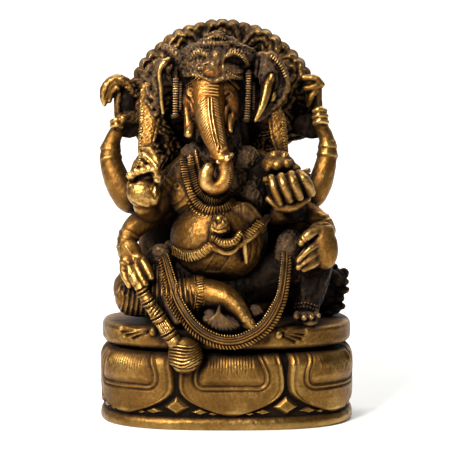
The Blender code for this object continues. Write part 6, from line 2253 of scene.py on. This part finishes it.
    def mouse(self) -> Piece:
        """The mouse that sits beside the raised foot."""
        return Piece("mouse_body", carved([
            lump((37.8, 9.0, 7.6), (5.2, 6.6, 8.0)), lump((41.8, 7.0, 14.6), (3.9, 4.2, 3.6)),
            lump((44.8, 7.0, 16.2), (2.2, 1.5, 2.2)), lump((41.4, 8.0, 18.4), (1.5, 1.0, 1.6)),
            lump((45.2, 5.6, 13.2), (1.7, 1.6, 1.4)), lump((43.9, 6.2, 9.8), (3.2, 2.0, 1.7)),
            lump((42.2, 5.4, 7.0), (3.0, 2.2, 1.9)), lump((40.6, 5.6, 3.0), (3.4, 4.2, 2.6)),
            lump((44.0, 4.6, 3.8), (1.6, 1.6, 1.3)), lump((38.8, 3.6, 1.6), (2.8, 3.4, 1.5)),
        ], [
            Stroke([(40.4, 57.2), (42.2, 56.0), (43.6, 54.6)], -0.4, 0.4),
            Stroke([(41.6, 50.8), (44.0, 50.6), (46.0, 49.6)], 0.4, 0.5),
            Stroke([(39.0, 47.0), (41.0, 46.2), (42.6, 46.4)], -0.45, 0.45),
        ], 0.38, 0.18, 199), Finish.SOOT_AND_SHADE, ("mouse",))

    def build(self) -> list[Piece]:
        """The lower body's pieces."""
        return [*self.folded(), *self.raised(), *self.lap(), *self.sash(), *self.mace(), self.mouse()]


# ---------------------------------------------------------------------------------------------------
# Patina and painted shade, studio and assembly
# ---------------------------------------------------------------------------------------------------


class PatinaAndShade:
    """Works out how rubbed and how sheltered each point of the whole figurine is; the finishes paint the
    shelter as patina and as shade.
    """

    CELL = 0.65  # width of a cell, in mm
    WAYS = 22  # directions looked in

    def __init__(self, pieces: Sequence[Piece]) -> None:
        """Marks the cells of a grid that hold any surface.

        Args:
            pieces: All of the pieces.
        """
        points = np.concatenate([p.shape.points for p in pieces])
        self.low = points.min(axis=0) - 2.0
        count = np.ceil((points.max(axis=0) + 2.0 - self.low) / self.CELL).astype(int)
        self.cells = np.zeros(count, bool)
        for piece in pieces:
            quads = piece.shape.points[piece.shape.faces]
            middles = quads.mean(axis=1)
            for place in (piece.shape.points, middles, (quads[:, 0] + middles) / 2,
                          (quads[:, 2] + middles) / 2):
                self.cells[tuple(((place - self.low) / self.CELL).astype(int).T)] = True

    def blocked(self, points: Array) -> Array:
        """Whether each point lies in a cell that holds a surface."""
        index = ((points - self.low) / self.CELL).astype(int)
        inside = ((index >= 0) & (index < np.array(self.cells.shape))).all(axis=1)
        found = np.zeros(len(points), bool)
        found[inside] = self.cells[tuple(index[inside].T)]
        return found

    def shelter(self, points: Array, normals: Array) -> Array:
        """The share of the directions above each point that other surface closes off."""
        total, weight = np.zeros(len(points)), np.full(len(points), 1e-6)
        golden = math.pi * (3.0 - math.sqrt(5.0))
        steps = 1.25 * np.cumsum(1.0 + 0.22 * np.arange(9))
        for k in range(self.WAYS):
            z = 1.0 - (2.0 * k + 1.0) / self.WAYS
            way = np.array([math.cos(golden * k) * math.sqrt(1 - z * z),
                            math.sin(golden * k) * math.sqrt(1 - z * z), z])
            lean = normals @ way
            pick = np.where(lean > 0.12)[0]
            start = points[pick] + normals[pick] * 0.55
            closed = np.zeros(len(pick))
            for step in steps:
                hit = self.blocked(start + way * step)
                closed = np.maximum(closed, hit * (1.0 - 0.55 * step / steps[-1]))
            total[pick] += closed * lean[pick]
            weight[pick] += lean[pick]
        return total / weight

    def measure(self, shape: Shape) -> tuple[Array, Array]:
        """How rubbed (-1 to 1) and how sheltered (0 to 1) each point is."""
        normals = shape.averaged(shape.normals(), 1)
        normals /= np.maximum(np.linalg.norm(normals, axis=1, keepdims=True), TINY)
        sheltered = shape.averaged(self.shelter(shape.points, normals), 3)
        here, there = shape.links()
        gaps = np.linalg.norm(shape.points[here] - shape.points[there], axis=1) ** 2
        square = np.bincount(here, gaps,
                             len(normals)) / np.maximum(np.bincount(here, minlength=len(normals)), 1)
        proud = ((shape.points - shape.averaged(shape.points)) * normals).sum(axis=1)
        bend = proud * 4.0 / np.maximum(square, 1e-6)
        fine = shape.averaged(bend, 2)
        broad = shape.averaged(bend, 12)
        worn = 0.7 * np.tanh(0.5 * (fine - 0.10)) + 0.4 * np.tanh(1.2 * (broad - 0.05))
        return np.clip(worn, -1.0, 1.0), np.clip(sheltered, 0.0, 1.0)


@dataclass
class Assembly:
    """Turns pieces into objects that ride on the frame.

    Attributes:
        low: The lowest corner of the frame, in metres.
        high: The highest corner, in metres.
        patina_and_shade: Gives every point its wear and shelter, which the finishes turn into patina and
            painted shade.
    """

    low: Array
    high: Array
    patina_and_shade: PatinaAndShade

    def fitted(self, points: Array) -> Array:
        """Drawn points in mm, moved onto the frame and kept inside its box, in metres."""
        placed = self.low + (points - DRAWN_LOW) * (self.high - self.low) / (DRAWN_HIGH - DRAWN_LOW)
        return np.clip(placed, self.low, self.high)

    def add(self, piece: Piece) -> None:
        """Makes the piece's object, with its wear, finish and place on the frame."""
        mesh = piece.shape.mesh(piece.name, MM)
        count = len(mesh.vertices)
        mesh.vertices.foreach_set("co", self.fitted(piece.shape.points[:count]).astype(np.float32).ravel())
        worn, sheltered = self.patina_and_shade.measure(piece.shape)
        for title, values in (("worn", worn), ("sheltered", sheltered)):
            kept = values[:count].astype(np.float32)
            mesh.attributes.new(title, "FLOAT", "POINT").data.foreach_set("value", kept)
        mesh.materials.clear()
        mesh.materials.append(make_material(piece.finish))
        mesh.update()
        obj = bpy.data.objects.new(piece.name, mesh)
        bpy.context.scene.collection.objects.link(obj)
        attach(obj, "root")
        if piece.stands_for:
            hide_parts(*piece.stands_for)
        LOG.info("%s: %d faces", piece.name, len(mesh.polygons))


@dataclass(frozen=True)
class Lamp:
    """A soft rectangular light.

    Attributes:
        name: The light's name.
        place: Where it is, in metres.
        size: Its width and height, in metres.
        power: In watts.
        aim: The point it faces, in metres.
        colour: Its colour.
    """

    name: str
    place: Point
    size: tuple[float, float]
    power: float
    aim: Point = (0.0, 0.0, 0.08)
    colour: Colour = (1.0, 0.97, 0.92)

    def add(self) -> None:
        """Makes the light."""
        data = bpy.data.lights.new(self.name, "AREA")
        data.shape = "RECTANGLE"
        data.size, data.size_y = self.size
        data.energy = self.power
        data.color = self.colour
        obj = bpy.data.objects.new(self.name, data)
        obj.location = self.place
        obj.rotation_euler = (Vector(self.aim) - Vector(self.place)).to_track_quat("-Z", "Y").to_euler()
        bpy.context.scene.collection.objects.link(obj)


@dataclass
class Studio:
    """The pale floor and backdrop, the lights and the camera."""

    lamps: tuple[Lamp, ...] = (
        Lamp("key", (-0.30, -0.44, 0.44), (0.24, 0.24), 9.6),
        Lamp("fill", (0.55, -0.45, 0.20), (0.5, 0.5), 0.12),
        Lamp("rim", (0.30, 0.25, 0.45), (0.3, 0.3), 0.35),
        Lamp("backdrop", (0.0, 0.40, 1.3), (2.0, 0.6), 26.0, (0.0, 1.05, 0.25), (1.0, 1.0, 1.0)),
    )
    target: Point = EYE.target

    def stage(self) -> None:
        """A floor that curves up into a backdrop."""
        rows = [(-1.6, 0.0), (0.55, 0.0)]
        rows += [(0.55 + 0.5 * math.sin(a), 0.5 - 0.5 * math.cos(a))
                 for a in np.linspace(0.1, math.pi / 2, 24)]
        rows += [(1.05, 1.0), (1.05, 2.4)]
        x = np.array([-2.4, 2.4])
        points = np.array([[side, y, z] for y, z in rows for side in x])
        faces = np.array([[2 * k, 2 * k + 1, 2 * k + 3, 2 * k + 2] for k in range(len(rows) - 1)])
        mesh = Shape(points, faces).mesh("floor")
        material = bpy.data.materials.new("pale_paper")
        material.use_nodes = True
        material.node_tree.nodes.clear()
        t = NodeTree(material.node_tree)
        place = t.add("ShaderNodeTexCoord").outputs["Object"]
        fibre = t.add("ShaderNodeTexNoise", {"Vector": place, "Scale": 60.0, "Detail": 4.0}).outputs[0]
        colour = t.mixed(fibre, opaque((0.80, 0.80, 0.79)), opaque((0.84, 0.84, 0.83)))
        shader = t.add("ShaderNodeBsdfPrincipled", {"Base Color": colour, "Roughness": 0.85})
        t.add("ShaderNodeOutputMaterial", {"Surface": shader.outputs[0]})
        mesh.materials.append(material)
        floor = bpy.data.objects.new("floor", mesh)
        bpy.context.scene.collection.objects.link(floor)
        floor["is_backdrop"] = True

    def world(self) -> None:
        """A dim, even surround."""
        world = bpy.data.worlds.new("surround")
        bpy.context.scene.world = world
        world.use_nodes = True
        background = world.node_tree.nodes["Background"]
        background.inputs["Color"].default_value = (0.9, 0.95, 1.0, 1.0)
        background.inputs["Strength"].default_value = 0.05

    def camera(self) -> None:
        """The camera, level with the figure's middle and a little above it."""
        data = bpy.data.cameras.new("camera")
        data.sensor_width = 36.0
        data.lens = 128.0
        data.clip_start, data.clip_end = 0.05, 20.0
        obj = bpy.data.objects.new("camera", data)
        place = Vector(EYE.place * MM)
        target = Vector(self.target) * MM
        obj.location = place
        obj.rotation_euler = (target - place).to_track_quat("-Z", "Y").to_euler()
        bpy.context.scene.collection.objects.link(obj)
        bpy.context.scene.camera = obj

    def build(self) -> None:
        """Everything round the figurine."""
        self.stage()
        self.world()
        self.camera()
        for lamp in self.lamps:
            lamp.add()
        bpy.context.scene.view_settings.view_transform = "Standard"


def main() -> None:
    """Builds the figurine on its frame."""
    logging.basicConfig(level=logging.INFO, format="%(message)s")
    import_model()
    cad_low, cad_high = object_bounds()
    drum_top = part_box("lotus_drum")[1][2] / MM
    pad, gap = 0.6, 0.3  # under the seat and between two solids, in mm
    plan = Plan(half_width=46.3, front=29.5, back=19.5, middle_y=8.8)
    base = Base(plan, top=drum_top - pad, seat_low=drum_top + gap, seat_high=SEAT_TOP)
    pieces = [piece for part in (base, Halo(), Head(), Body(), Arms(), Legs()) for piece in part.build()]
    assembly = Assembly(np.array(cad_low), np.array(cad_high), PatinaAndShade(pieces))
    for piece in pieces:
        assembly.add(piece)
    Studio().build()


if __name__ == "__main__":
    main()
